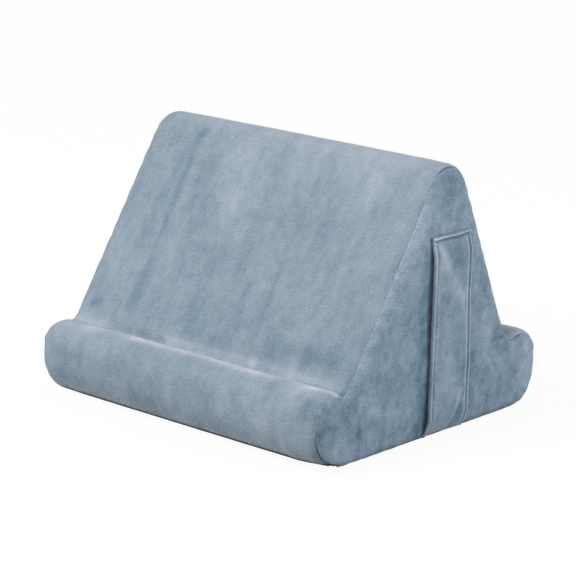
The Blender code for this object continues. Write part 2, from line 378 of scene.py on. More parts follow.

# Creases, and marks in the nap, are (start, end, width, height), with places as (across, along).
# Besides brushed pile, the nap marks paint highlights on the roll's crest and top, on the slope's
# foot above the crest, on the ridge, the ledge and the rims at the ends, and shade low on the roll
# and in the seam tucks.
COVER_CREASES = (
    ((0.1015, 0.0297), (0.1060, 0.0240), 0.0022, -0.0006),
    ((0.1060, 0.0240), (0.1107, 0.0202), 0.0022, -0.0005),
    ((0.136, 0.0624), (0.137, 0.0543), 0.0040, -0.0008),
    ((0.1390, 0.0890), (0.1440, 0.0900), 0.0022, -0.0011),
    ((0.1180, 0.1057), (0.0925, 0.1067), 0.0060, -0.0006),
)
COVER_NAP_AND_PAINTED_LIGHT = (
    ((-0.1250, 0.0700), (0.0700, 0.0700), 0.0120, 0.30),
    ((-0.0600, 0.0800), (0.0680, 0.0800), 0.0050, 4.20),
    ((0.0740, 0.0800), (0.0840, 0.0800), 0.0055, 2.60),
    ((0.0920, 0.0800), (0.1250, 0.0800), 0.0050, 1.60),
    ((-0.0400, 0.0942), (0.0500, 0.0942), 0.0038, 1.90),
    ((0.0500, 0.0945), (0.1250, 0.0945), 0.0040, 1.10),
    ((0.0700, 0.0940), (0.1380, 0.0925), 0.0032, 0.30),
    ((0.1220, 0.0800), (0.1480, 0.0840), 0.0042, 3.60),
    ((-0.1420, 0.0760), (-0.1080, 0.0785), 0.0085, 1.90),
    ((-0.1420, 0.0900), (-0.1120, 0.0910), 0.0060, 1.50),
    ((-0.1080, 0.0800), (-0.0600, 0.0800), 0.0060, 2.30),
    ((-0.1320, 0.1060), (-0.1250, 0.1090), 0.0040, -1.50),
    ((0.1400, 0.0890), (0.1440, 0.0900), 0.0020, -1.90),
    ((0.1200, 0.0740), (0.1380, 0.0720), 0.0050, 0.60),
    ((0.0600, 0.1100), (0.1250, 0.1100), 0.0070, -0.70),
    ((0.1490, 0.2560), (0.1490, 0.2760), 0.0035, 1.60),
    ((0.1490, 0.1150), (0.1490, 0.2450), 0.0050, 0.50),
    ((-0.0900, 0.1120), (0.0100, 0.1120), 0.0080, -0.25),
    ((-0.1400, 0.0010), (0.1400, 0.0010), 0.0220, -0.80),
    ((-0.1200, 0.2780), (0.1400, 0.2760), 0.0100, 0.90),
    ((-0.1050, 0.2500), (0.1350, 0.2660), 0.0180, 0.40),
    ((0.0900, 0.2450), (0.1300, 0.2050), 0.0300, 0.45),
    ((-0.0925, 0.2620), (-0.0900, 0.1150), 0.0035, -0.75),
    ((-0.0925, 0.2640), (-0.0925, 0.2600), 0.0045, -1.10),
    ((-0.0640, 0.2350), (-0.0600, 0.2100), 0.0120, -0.35),
    ((0.0925, 0.1150), (0.1180, 0.1120), 0.0070, -0.60),
    ((-0.0410, 0.1700), (-0.0300, 0.1500), 0.0100, -0.25),
    ((-0.0270, 0.2150), (-0.0200, 0.1900), 0.0140, 0.25),
    ((0.1360, 0.0624), (0.1370, 0.0543), 0.0050, -1.40),
    ((0.1205, 0.0704), (0.1100, 0.0720), 0.0080, 0.50),
    ((0.1500, 0.0300), (0.1500, 0.0600), 0.0130, -0.50),
    ((-0.1500, 0.0200), (-0.1500, 0.0750), 0.0045, 1.30),
    ((0.1490, 0.3150), (0.1490, 0.4400), 0.0040, 1.50),
    ((0.1000, 0.4720), (0.1480, 0.4740), 0.0130, 2.40),
)

# Creases and marks in the nap of the end panel with the strap, with places as (y, z). Besides
# brushed pile, the nap marks paint shade beside the strap and along the creases, and highlights on
# the rims along the seams and the ledge.
PANEL_CREASES = (
    ((0.0125, 0.1400), (0.0085, 0.0250), 0.0190, -0.0012),
    ((0.0214, 0.2042), (0.0150, 0.2044), 0.0020, -0.0005),
    ((0.0124, 0.2002), (0.0205, 0.1950), 0.0045, -0.0010),
    ((0.0860, 0.0612), (0.0704, 0.0624), 0.0021, -0.0012),
    ((0.0704, 0.0624), (0.0656, 0.0603), 0.0021, -0.0008),
    ((-0.0879, 0.0280), (-0.0860, 0.0250), 0.0030, -0.0007),
)
PANEL_NAP_AND_PAINTED_LIGHT = (
    ((-0.0125, 0.1480), (-0.0175, 0.0120), 0.0060, -1.30),
    ((-0.0879, 0.0280), (-0.0860, 0.0250), 0.0035, -1.10),
    ((-0.0517, 0.0290), (-0.0517, 0.0230), 0.0040, 0.60),
    ((0.0124, 0.1985), (0.0205, 0.1925), 0.0050, -0.80),
    ((0.0214, 0.2042), (0.0170, 0.2044), 0.0016, -0.60),
    ((0.0860, 0.0612), (0.0704, 0.0624), 0.0016, -1.10),
    ((0.0704, 0.0624), (0.0656, 0.0603), 0.0016, -0.70),
    ((0.0080, 0.1990), (-0.0880, 0.0680), 0.0075, 0.85),
    ((-0.0550, 0.0800), (-0.0200, 0.0700), 0.0200, 0.35),
    ((0.0500, 0.0950), (0.0600, 0.0450), 0.0140, 0.35),
    ((0.0850, 0.0500), (0.1100, 0.0350), 0.0180, 0.60),
    ((0.0100, 0.1800), (0.0200, 0.1700), 0.0140, -0.55),
    ((-0.0850, 0.0250), (-0.0400, 0.0200), 0.0150, -0.35),
    ((0.1120, 0.0480), (0.1160, 0.0200), 0.0090, 0.50),
    ((0.0403, 0.1560), (0.0382, 0.0900), 0.0020, -1.20),
    ((0.0380, 0.0860), (0.0357, 0.0120), 0.0020, -1.20),
    ((-0.1230, 0.0280), (-0.1150, 0.0500), 0.0070, -0.35),
    ((0.0430, 0.1900), (0.0905, 0.0700), 0.0032, 1.30),
    ((0.1255, 0.0480), (0.1245, 0.0200), 0.0035, 1.20),
)


def seam_strength(outline, along):
    """How tight the end seam pulls: most low on the roll, and hardly along the slopes."""
    low_roll = smooth_step(1.0 - (along - LOW_ROLL_TOP) / LOW_ROLL_RUN)
    low_ledge = smooth_step(1.0 - (outline.cover_length - along) / LOW_LEDGE_RUN)
    ledge_top = line_at(along, *LEDGE_TOP_SEAM)
    share = FLAT_SEAM_SHARE + low_roll + LOW_LEDGE_SHARE * low_ledge + ledge_top
    return np.clip(share, 0.0, 1.0)


def seam_relief(outline, edge, along, seed):
    """The end seam's valley and puckers, by distance from it.

    The line SEAM_DIVE turns the seam allowance in, the wider SEAM_TUCK tucks the cloth down,
    and short ripples along the seam fade as exp(-edge / PUCKER_REACH).
    """
    valley = line_at(edge, *SEAM_DIVE) + line_at(edge, *SEAM_TUCK)
    rise = np.exp(-edge / PUCKER_REACH) * (1.0 - np.exp(-edge / PUCKER_START))
    puckers = PUCKER * rise * ripples(along, edge, PUCKER_LENGTH, seed, PUCKER_STRETCH)
    return valley * seam_strength(outline, along) + puckers


def corner_lift(across, half, distance):
    """The lift of the bottom corner under the strap's end, by distance from the base seam."""
    near_end = smooth_step((across - half + CORNER_LIFT_RUN) / CORNER_LIFT_RUN)
    return line_at(distance, *CORNER_LIFT) * near_end


def cover_form(outline, across, along, half, swell):
    """How far the cloth stands off its plain surface: swell, lumps, seat, crest and creases."""
    edge = half - np.abs(across)
    to_rear = outline.cover_length - along
    calm = 1.0 - line_at(along, *CREST_CALM) - RIDGE_CALM * bell(along - outline.ridge, RIDGE_CALM_WIDTH)
    raised = smooth_step(along / LUMPS_RUN) * smooth_step(to_rear / LUMPS_RUN)
    lumps = lump_field(across, along, COVER_LUMPS) * raised * calm * smooth_step(edge / LUMPS_EDGE)

    soft_left = smooth_step((across + half) / LEFT_SOFT_RUN)
    soft_right = 1.0 - RIGHT_SOFT_LESS * smooth_step((across - RIGHT_SOFT_START) / RIGHT_SOFT_RUN)
    seat_depth = SEAT_DEPTH * (SEAT_LEAST + (1.0 - SEAT_LEAST) * soft_left) * soft_right
    seat_line = SEAT_LINE + lump_field(across, 0.0, SEAT_WOBBLE)
    seat = line_at(along, seat_line, SEAT_WIDTH, -seat_depth)
    crest_height = CREST * (CREST_LEAST + (1.0 - CREST_LEAST) * soft_left)
    crest = line_at(along, CREST_LINE, CREST_WIDTH, crest_height)
    ledge = line_at(along, outline.corners[10], LEDGE_CROWN_WIDTH, LEDGE_CROWN)
    full = line_at(along, *LOW_FULLNESS) * smooth_step(edge / LOW_FULLNESS_EDGE)

    creases = marks_field(across, along, COVER_CREASES)
    base_seams = line_at(along, *BASE_SEAM) + line_at(to_rear, *BASE_SEAM)
    form = cover_rise(swell, along, across / half) + lumps + crest + ledge + full
    return form + corner_lift(across, half, along) + seat + creases + base_seams


def cover_relief(outline, settings):
    """The cover strip's relief, as a function of the place: its form with its end seams."""
    swell = cover_swell(settings.ridge_height, settings.width)

    def relief(across, along, half):
        form = cover_form(outline, across, along, half, swell)
        return form + seam_relief(outline, half - np.abs(across), along, COVER_SEAM_SEED)

    return relief


def left_plump(points):
    """Push the front roll's left end out by LEFT_PLUMP, under a bell round the roll's middle."""
    spread = ((points[..., 1] - PLUMP_PLACE[0]) / PLUMP_SPREAD[0]) ** 2
    spread = spread + ((points[..., 2] - PLUMP_PLACE[1]) / PLUMP_SPREAD[1]) ** 2
    reach = smooth_step((-points[..., 0] - PLUMP_START) / PLUMP_RUN)
    points[..., 0] -= LEFT_PLUMP * np.exp(-spread) * reach


def strip_surface(outline, along, share, width, depth=0.0, relief=None):
    """A point of the strip: round the outline by along, and across it by share, -1 to 1.

    Past the start of the end rounding, the point turns about the rounding's centre line: x
    grows by radius sin(turn) and the outline is inset by radius (1 - cos(turn)).
    """
    y, z, normal_y, normal_z = outline.at(along)
    radius = end_radius(outline, along)
    straight = width / 2.0 - radius
    half = straight + radius * SEAM_TURN - SEAM_GAP / 2.0
    across = share * half
    turn = np.maximum(np.abs(across) - straight, 0.0) / radius
    side = np.sign(across)
    inset = radius * (1.0 - np.cos(turn))
    x = side * (np.minimum(np.abs(across), straight) + radius * np.sin(turn))
    points = stack(x, y - inset * normal_y, z - inset * normal_z)
    normals = stack(side * np.sin(turn), np.cos(turn) * normal_y, np.cos(turn) * normal_z)
    height = -depth if relief is None else relief(across, along, half) - depth
    points = points + normals * np.broadcast_to(height, across.shape)[..., None]
    left_plump(points)
    return points, normals, across


def grid_quads(rows, columns, closed=False):
    """Corner numbers of a grid's quads, for points numbered row by row."""
    last = columns if closed else columns - 1
    row = np.arange(rows - 1)[:, None] * columns
    near = np.arange(last)[None, :]
    far = (near + 1) % columns
    quads = np.stack((row + near, row + far, row + columns + far, row + columns + near), axis=-1)
    return quads.reshape(-1, 4)


def face_out(points, faces, normals):
    """The faces as they are, or all turned round where they mostly oppose the normals."""
    corners = points[faces[:, :3]]
    facing = np.cross(corners[:, 1] - corners[:, 0], corners[:, 2] - corners[:, 0])
    if np.einsum("ij,ij->", facing, normals[faces[:, 0]]) < 0.0:
        return faces[:, ::-1]
    return faces


def build_mesh(name, points, faces, normals=None, cloth=None, nap_and_painted_light=None, shade=None):
    """Put points and groups of same-sided faces into a mesh object, with its cloth UV, nap and shade.

    Where normals are given, each group of faces is turned to look along them. The nap with its
    painted highlights and shade, and the painted contact shade, are numbers for each point.
    """
    points = np.asarray(points, dtype=np.float64).reshape(-1, 3)
    if normals is not None:
        outward = np.asarray(normals).reshape(-1, 3)
        faces = [face_out(points, group, outward) for group in faces]
    corners = np.concatenate([group.ravel() for group in faces]).astype(np.int32)
    sides = np.concatenate([np.full(len(group), group.shape[1]) for group in faces])
    starts = np.concatenate(([0], np.cumsum(sides)[:-1])).astype(np.int32)

    mesh = bpy.data.meshes.new(name)
    mesh.vertices.add(len(points))
    mesh.vertices.foreach_set("co", points.astype(np.float32).ravel())
    mesh.loops.add(len(corners))
    mesh.loops.foreach_set("vertex_index", corners)
    mesh.polygons.add(len(starts))
    mesh.polygons.foreach_set("loop_start", starts)
    mesh.update(calc_edges=True)
    if mesh.validate():
        raise RuntimeError(f"{name}: the mesh has faulty faces")
    if cloth is not None:
        layer = mesh.uv_layers.new(name="cloth")
        flat = np.asarray(cloth, dtype=np.float32).reshape(-1, 2)[corners]
        layer.data.foreach_set("uv", flat.ravel())
    for label, values in (("nap_and_painted_light", nap_and_painted_light), ("shade", shade)):
        if values is not None:
            layer = mesh.attributes.new(label, "FLOAT", "POINT")
            layer.data.foreach_set("value", np.asarray(values, dtype=np.float32).ravel())
    mesh.shade_smooth()
    made = bpy.data.objects.new(name, mesh)
    bpy.context.scene.collection.objects.link(made)
    return made


def swell_cloth(points, faces, normals, held):
    """Press a coarse copy of the cloth outwards over its filling, and give each point's rise.

    Held points are pinned, and the pressure pushes the others for SWELL_FRAMES frames
    without gravity. The rise is the movement's part along the normal, kept under SWELL_CAP
    as cap tanh(rise / cap).
    """
    copy = build_mesh("swelling_copy", points, faces, normals)
    pins = copy.vertex_groups.new(name="held")
    pins.add(np.flatnonzero(np.ravel(held)).tolist(), 1.0, "REPLACE")
    cloth = copy.modifiers.new("swell", "CLOTH")
    for label, value in SWELL_SETTINGS.items():
        setattr(cloth.settings, label, value)
    cloth.settings.effector_weights.gravity = 0.0
    cloth.collision_settings.use_collision = False
    cloth.point_cache.frame_start = 1
    cloth.point_cache.frame_end = SWELL_FRAMES
    scene = bpy.context.scene
    for number in range(1, SWELL_FRAMES + 1):
        scene.frame_set(number)
    pressed = copy.evaluated_get(bpy.context.evaluated_depsgraph_get())
    places = np.empty(len(copy.data.vertices) * 3, dtype=np.float32)
    pressed.data.vertices.foreach_get("co", places)
    scene.frame_set(1)
    mesh = copy.data
    bpy.data.objects.remove(copy, do_unlink=True)
    bpy.data.meshes.remove(mesh)
    moved = places.reshape(-1, 3) - np.reshape(points, (-1, 3))
    rise = np.einsum("ij,ij->i", moved, np.reshape(normals, (-1, 3)))
    return SWELL_CAP * np.tanh(np.maximum(rise, 0.0) / SWELL_CAP)


@lru_cache
def cover_swell(ridge_height, width):
    """The cover strip's swell on a regular grid, held at its seams, the seat and the step."""
    outline = Outline(ridge_height)
    along = np.linspace(0.0, outline.cover_length, int(outline.cover_length / SWELL_SPACING))
    shares = np.linspace(-1.0, 1.0, int(width / SWELL_SPACING))
    points, normals, across = strip_surface(outline, along[:, None], shares[None, :], width)
    edge = np.abs(across).max(axis=1, keepdims=True) - np.abs(across)
    step = (outline.corners[8] + outline.corners[9]) / 2.0
    lines = np.minimum(along, outline.cover_length - along) < SWELL_HELD
    lines = lines | (np.abs(along - SEAT_LINE) < SEAT_HELD) | (np.abs(along - step) < STEP_HELD)
    held = (edge < SWELL_HELD) | lines[:, None]
    rise = swell_cloth(points, [grid_quads(*across.shape)], normals, held)
    return along, shares, rise.reshape(across.shape)


def cover_rise(swell, along, share):
    """The grid's swell at any place: the mean of its four nearest stops, weighted by nearness."""
    rows, columns, rise = swell
    row = np.interp(along, rows, np.arange(len(rows)))
    column = np.interp(share, columns, np.arange(len(columns)))
    near_row = np.minimum(row.astype(int), len(rows) - 2)
    near_column = np.minimum(column.astype(int), len(columns) - 2)
    up = row - near_row
    over = column - near_column
    low = rise[near_row, near_column] * (1.0 - over) + rise[near_row, near_column + 1] * over
    high = rise[near_row + 1, near_column] * (1.0 - over) + rise[near_row + 1, near_column + 1] * over
    return low * (1.0 - up) + high * up


@lru_cache
def panel_swell(ridge_height, width):
    """An end panel's swell at scattered places (y, z), held along its end seam."""
    outline = Outline(ridge_height)
    points, normals, edge, _, faces = end_mesh(
        outline, width, 1, SEAM_TURN, SWELL_SPACING, SWELL_SPACING, SWELL_SPACING
    )
    rise = swell_cloth(points, faces, normals, edge < SWELL_HELD / 2.0)
    return points[:, 1:], rise


def panel_rise(swell, y, z):
    """The scattered swell at any (y, z): its mean weighted by exp(-(distance / spacing)^2)."""
    places, rise = swell
    gap = (np.ravel(y)[:, None] - places[:, 0]) ** 2 + (np.ravel(z)[:, None] - places[:, 1]) ** 2
    gap = gap - gap.min(axis=1, keepdims=True)
    weight = np.exp(-gap / SWELL_SPACING ** 2)
    mean = (weight @ rise) / weight.sum(axis=1)
    return mean.reshape(np.broadcast(y, z).shape)


def add_wall(piece, thickness):
    """Give a cloth surface its thickness, inwards from the side that shows."""
    wall = piece.modifiers.new("wall", "SOLIDIFY")
    wall.thickness = thickness
    wall.offset = -1.0
    wall.use_even_offset = False
    return wall


def finish_piece(piece, material, slot_name, *nodes):
    """Give a piece its material, put it on the body, and let it replace its nodes. The slot name is not
    used.
    """
    piece.data.materials.append(material)
    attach(piece, BODY)
    if nodes:
        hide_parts(*nodes)


# How close the grids' stops lie: their coarse step, then spread and step where they crowd
COVER_COARSE = 0.0023
COVER_SEAT_STOPS = (0.010, 0.0008)
COVER_STEP_STOPS = (0.009, 0.0011)
COVER_SEAM_STOPS = (0.003, 0.0008)
COVER_SHARES = (0.0170, 0.035, 0.0034)
BASE_STOPS = (0.0060, 0.004, 0.0010)
BASE_SHARES = (0.045, 0.04, 0.005)
PANEL_STOPS = (0.0021, 0.0010, 0.0021)
RIM_STOPS = (0.11, 0.16, 0.045)
FOAM_STOPS = (0.0060, 0.0016)
FOAM_TURNS = 7
FOAM_RINGS = 44
FOAM_SPACING = 0.0070
SEAT_SPREAD = 0.012
STEP_SPREAD = 0.010
ROLL_SPREAD = 0.018


def loop_stops(outline, coarse, fine):
    """Stops round the whole outline, closer at the seat, at the step and at the small corners."""
    corners = outline.corners
    seat = (corners[4] + corners[5]) / 2.0
    step = (corners[8] + corners[9]) / 2.0
    roll = (corners[2] + corners[3]) / 2.0
    middling = (coarse + fine) / 2.0
    spots = ((seat, SEAT_SPREAD, fine), (step, STEP_SPREAD, fine), (roll, ROLL_SPREAD, middling))
    return graded_stops(0.0, outline.perimeter, coarse, spots)[:-1]


def build_cover_wrap(outline, settings):
    """The cover strip: its surface function on a grid that is fine at the seat and the seams."""
    spots = (
        (SEAT_LINE, *COVER_SEAT_STOPS), (outline.corners[8], *COVER_STEP_STOPS),
        (0.0, *COVER_SEAM_STOPS), (outline.cover_length, *COVER_SEAM_STOPS),
    )
    along = graded_stops(0.0, outline.cover_length, COVER_COARSE, spots)[:, None]
    shares = stops_between(-1.0, 1.0, *COVER_SHARES)[None, :]
    relief = cover_relief(outline, settings)
    points, normals, across = strip_surface(outline, along, shares, settings.width, relief=relief)
    place = np.broadcast_to(along, across.shape)
    cloth = np.stack((across, place), axis=-1)
    # Brushed pile marks with painted highlights and shade, and painted shade just above the floor
    nap_and_painted_light = marks_field(across, place, COVER_NAP_AND_PAINTED_LIGHT) + floor_shade(points[..., 2])
    # Painted contact shade near the floor
    shade = contact_shade(points[..., 2], COVER_CONTACT)
    quads = grid_quads(*across.shape)
    cover = build_mesh("cover_wrap_velvet", points, [quads], normals, cloth, nap_and_painted_light, shade)
    add_wall(cover, settings.cloth_thickness)
    return cover


# How far in from the end seam a panel still follows the cover strip, and its own lumps
SEAM_SHARED = 0.0060
PANEL_LUMPS = ((0.00040, 0.060, 0, 0.7), (0.00016, 0.022, 1, 0.6))
PANEL_LUMPS_EDGE = 0.016
PANEL_SEAM_SEED = 2
FAR_ACROSS = 1.0


def panel_height(outline, swells, side, y, z, edge, along, marks, seed):
    """How far the end panel stands off its flat: its swell, lumps, creases and the end seam.

    Along the seam it takes the cover strip's own height there, which fades as
    exp(-(edge / SEAM_SHARED)^2), so that the two meet. That height is read FAR_ACROSS, on
    the strip's edge but past the reach of its creases.
    """
    cover, panel = swells
    rise = panel_rise(panel, y, z) * smooth_step(edge / SWELL_HELD)
    radius = end_radius(outline, along)
    half = FAR_ACROSS - radius + radius * SEAM_TURN
    shared = cover_form(outline, side * half, along, half, cover) * bell(edge, SEAM_SHARED)
    lumps = lump_field(y, z, PANEL_LUMPS, seed) * smooth_step(edge / PANEL_LUMPS_EDGE)
    seam = seam_relief(outline, edge, along, seed + PANEL_SEAM_SEED)
    return rise + shared + lumps + marks_field(y, z, marks) + seam


def inside_ring(points, ring):
    """Which points lie inside a closed ring: an odd number of its sides crosses their level."""
    following = np.roll(ring, -1, axis=0)
    y, z = points[:, 0, None], points[:, 1, None]
    crosses = (ring[None, :, 1] > z) != (following[None, :, 1] > z)
    rise = following[None, :, 1] - ring[None, :, 1]
    rise = np.where(np.abs(rise) < TINY, TINY, rise)
    crossing = ring[None, :, 0] + (z - ring[None, :, 1]) / rise * (following[:, 0] - ring[:, 0])
    return np.count_nonzero(crosses & (y < crossing), axis=1) % 2 == 1


def ring_distance(points, ring):
    """Each point's distance to the closed ring's nearest side."""
    run = np.roll(ring, -1, axis=0) - ring
    length_squared = np.maximum((run ** 2).sum(axis=1), TINY)
    offset = points[:, None, :] - ring[None, :, :]
    share = np.clip((offset * run).sum(axis=2) / length_squared, 0.0, 1.0)
    return np.sqrt(((offset - share[..., None] * run) ** 2).sum(axis=2)).min(axis=1)


# How clear of the ring the lattice keeps, in spacings, and what counts as the same point
LATTICE_CLEAR = 0.55
MERGE_DISTANCE = 1e-7
SAME_PLACE = 1e-6


def fill_ring(ring, spacing):
    """Fill a closed ring with a triangular lattice.

    Gives its inner points, their distances from the ring and the triangles.
    """
    low = ring.min(axis=0)
    high = ring.max(axis=0)
    row_height = spacing * math.sqrt(3.0) / 2.0
    rows = np.arange(low[1], high[1], row_height)
    columns = np.arange(low[0], high[0], spacing)
    shift = (np.arange(len(rows)) % 2) * spacing / 2.0
    lattice = np.stack((columns[None, :] + shift[:, None], np.repeat(rows[:, None], len(columns), 1)), -1)
    lattice = lattice.reshape(-1, 2)
    lattice = lattice[inside_ring(lattice, ring)]
    distance = ring_distance(lattice, ring)
    clear = distance > spacing * LATTICE_CLEAR
    inner = lattice[clear]
    distance = distance[clear]
    given = np.concatenate((ring, inner))
    boundary = list(range(len(ring)))
    made = delaunay_2d_cdt(given.tolist(), [], [boundary], 1, MERGE_DISTANCE)
    if len(made[0]) != len(given) or not np.allclose(np.array(made[0]), given, atol=SAME_PLACE):
        raise RuntimeError("the end's triangles don't use the given points")
    return inner, distance, np.array(made[2], dtype=np.int64)


def end_surface(outline, along, turns, side, width):
    """Rings of the rounded end, from the seam's turn to a quarter turn, where it is flat."""
    y, z, normal_y, normal_z = outline.at(along)
    radius = end_radius(outline, along)
    inset = radius * (1.0 - np.cos(turns))
    x = side * (width / 2.0 - radius + radius * np.sin(turns))
    points = stack(x, y - inset * normal_y, z - inset * normal_z)
    normals = stack(side * np.sin(turns), np.cos(turns) * normal_y, np.cos(turns) * normal_z)
    return points, normals


def end_mesh(outline, width, side, first_turn, coarse, fine, spacing):
    """A closed rim of rings round an end, and a lattice that fills the last ring.

    Gives the points, their normals, their distances from the end seam, their places along
    the outline and the faces.
    """
    along = loop_stops(outline, coarse, fine)[None, :]
    coarse_turn, spread, fine_turn = RIM_STOPS
    turns = graded_stops(first_turn, QUARTER, coarse_turn, ((first_turn, spread, fine_turn),))[:, None]
    points, normals = end_surface(outline, along, turns, side, width)
    edge = np.maximum(turns - SEAM_TURN, 0.0) * end_radius(outline, along)
    ring = points[-1, :, 1:]
    inner, distance, triangles = fill_ring(ring, spacing)

    rows, columns = edge.shape
    near = np.argmin(((inner[:, None, :] - ring[None, :, :]) ** 2).sum(axis=2), axis=1)
    flat = np.column_stack((np.full(len(inner), side * width / 2.0), inner))
    aside = np.column_stack((np.full(len(inner), float(side)), np.zeros((len(inner), 2))))
    all_points = np.concatenate((points.reshape(-1, 3), flat))
    all_normals = np.concatenate((normals.reshape(-1, 3), aside))
    edges = np.concatenate((edge.ravel(), distance + edge[-1, near]))
    places = np.concatenate((np.broadcast_to(along, edge.shape).ravel(), along[0, near]))
    quads = face_out(all_points, grid_quads(rows, columns, closed=True), all_normals)
    triangles = face_out(all_points, triangles + (rows - 1) * columns, all_normals)
    return all_points, all_normals, edges, places, [quads, triangles]


def build_end_panel(name, outline, settings, side, creases, naps, seed):
    """One end panel: its rim from the end seam over the rounding, and its slightly full face."""
    first_turn = SEAM_TURN + SEAM_GAP / 2.0 / END_RADIUS
    points, normals, edge, along, faces = end_mesh(
        outline, settings.width, side, first_turn, *PANEL_STOPS
    )
    sizes = (settings.ridge_height, settings.width)
    swells = (cover_swell(*sizes), panel_swell(*sizes))
    cloth = points[:, 1:]
    height = panel_height(outline, swells, side, cloth[:, 0], cloth[:, 1], edge, along, creases, seed)
    points = points + normals * height[:, None]
    cloth = points[:, 1:].copy()
    left_plump(points)
    # Brushed pile marks with painted highlights and shade, and painted shade just above the floor
    nap_and_painted_light = marks_field(cloth[:, 0], cloth[:, 1], naps) + floor_shade(points[:, 2])
    # Painted contact shade near the floor
    shade = contact_shade(points[:, 2], PANEL_CONTACT)
    panel = build_mesh(name, points, faces, None, cloth, nap_and_painted_light, shade)
    add_wall(panel, settings.cloth_thickness)
    return panel


# The base cloth's thickness, and how deep the foam lies in its cover: all over, at the end
# seams and at the seat, as (place, width, depth)
BASE_SHEET = 0.0008
FOAM_DEPTH = 0.0027
FOAM_SEAM = (0.0, 0.0030, 0.0034)
FOAM_SEAT = (SEAT_LINE, 0.0100, 0.0030)
FOAM_FACE_RUN = 0.020


def build_base_cloth(outline, settings):
    """The base panel: the strip's surface along the underside, flat but for its seams."""
    along = stops_between(outline.cover_length, outline.perimeter, *BASE_STOPS)[:, None]
    shares = stops_between(-1.0, 1.0, *BASE_SHARES)[None, :]

    def relief(across, place, half):
        to_front = outline.perimeter - place
        ends = line_at(place, outline.cover_length, *BASE_SEAM[1:]) + line_at(to_front, *BASE_SEAM)
        ends = ends + corner_lift(across, half, to_front)
        sides = seam_relief(outline, half - np.abs(across), place, BASE_SEAM_SEED)
        return np.minimum(ends + sides, 0.0)

    points, normals, across = strip_surface(outline, along, shares, settings.width, relief=relief)
    place = np.broadcast_to(along, across.shape)
    cloth = np.stack((across, place), axis=-1)
    base = build_mesh("base_cloth", points, [grid_quads(*across.shape)], normals, cloth)
    add_wall(base, BASE_SHEET)
    return base


def build_foam_block(outline, settings):
    """The closed foam shape inside the cover, FOAM_DEPTH below the cloth's relief.

    It is one tube of rings from end to end, rounded over a quarter turn at each end, and its
    two last rings are filled.
    """
    along = loop_stops(outline, *FOAM_STOPS)[None, :]
    radius = end_radius(outline, along)
    straight = settings.width / 2.0 - radius
    half = straight + radius * SEAM_TURN
    turns = np.linspace(0.0, QUARTER, FOAM_TURNS)[:, None]
    left_points, left_normals = end_surface(outline, along, turns[::-1], -1, settings.width)
    right_points, right_normals = end_surface(outline, along, turns, 1, settings.width)
    shares = np.linspace(-1.0, 1.0, FOAM_RINGS)[1:-1, None]
    y, z, normal_y, normal_z = outline.at(along)
    middle_points = stack(shares * straight, y, z)
    middle_normals = stack(np.zeros((len(shares), 1)), normal_y, normal_z)
    points = np.concatenate((left_points, middle_points, right_points))
    normals = np.concatenate((left_normals, middle_normals, right_normals))
    rounding = radius * turns
    across = np.concatenate((-straight - rounding[::-1], shares * straight, straight + rounding))

    edge = half - np.abs(across)
    over_face = smooth_step(edge / FOAM_FACE_RUN)
    panel = panel_swell(settings.ridge_height, settings.width)
    swell = cover_swell(settings.ridge_height, settings.width)
    inside = cover_form(outline, across, along + 0.0 * across, half, swell) * over_face
    inside = inside - line_at(along, *FOAM_SEAT)
    rounded = panel_rise(panel, points[..., 1], points[..., 2]) * smooth_step(-edge / SWELL_HELD)
    depth = line_at(edge, *FOAM_SEAM) + FOAM_DEPTH
    points = points + normals * (inside + rounded - depth)[..., None]

    rows, columns = across.shape
    quads = grid_quads(rows, columns, closed=True)
    groups = [face_out(points.reshape(-1, 3), quads, normals.reshape(-1, 3))]
    made = points.reshape(-1, 3)
    for row, side in ((0, -1), (rows - 1, 1)):
        inner, distance, triangles = fill_ring(points[row, :, 1:], FOAM_SPACING)
        x = side * (settings.width / 2.0 - FOAM_DEPTH + panel_rise(panel, inner[:, 0], inner[:, 1]))
        on_ring = triangles < columns
        triangles = np.where(on_ring, triangles + row * columns, triangles - columns + len(made))
        made = np.concatenate((made, np.column_stack((x, inner))))
        aside = np.tile((float(side), 0.0, 0.0), (len(made), 1))
        groups.append(face_out(made, triangles, aside))
    left_plump(made)
    return build_mesh("foam_block", made, groups)


# Carry strap: distances run down from its top edge, and across from its middle
STRAP_LOW_TURN = SEAM_TURN + math.radians(1.5)
STRAP_FIT = 0.0003
STRAP_HEM = 0.0031
STRAP_HEM_DIP = (STRAP_HEM, 0.0011, 0.0013)
STRAP_BOW_RUN_TOP = 0.014
STRAP_BOW_RUN_LOW = 0.018
STRAP_SHIFT = -0.0018
STRAP_BED = 0.0010
STRAP_BED_RUN = 0.030
STRAP_TUCK = 0.0022
STRAP_TUCK_RUN = 0.0045
STRAP_LEAN = 0.0068
STRAP_SLIM = 0.0011
STRAP_SLIM_START = 0.28
STRAP_SLIM_RUN = 0.40
STRAP_END_THICKNESS = 0.0014
STRAP_CLOSING_RUN = 0.0011
STRAP_CLOSING_LESS = 0.0008
STRAP_LEAST_CLOSING = 0.05
STRAP_STITCH_INSET = 0.0027
STITCH_PITCH = 0.0034

# Lines of the strap's face, and its painted highlights and shade, as (place, width, height). Places
# go inwards from the long edges, or down from the top edge. The half towards the roll has the smaller
# share.
FACE_GROOVE = (STRAP_STITCH_INSET, 0.00065, -0.00125)
FACE_EDGE = (0.0012, 0.0009, 0.00090)
FACE_INNER = (0.0047, 0.0014, 0.00050)
FACE_RIM = (0.0012, 0.0010, 0.00090)
FACE_WAVES = ((0.00040, 0.028, 12, 0.6),)
FACE_WAVES_RUN = 0.006
FACE_BEAT = 0.22
FACE_BEAT_SHARES = (0.45, 0.70)
FACE_BELOW_HEM = 0.004
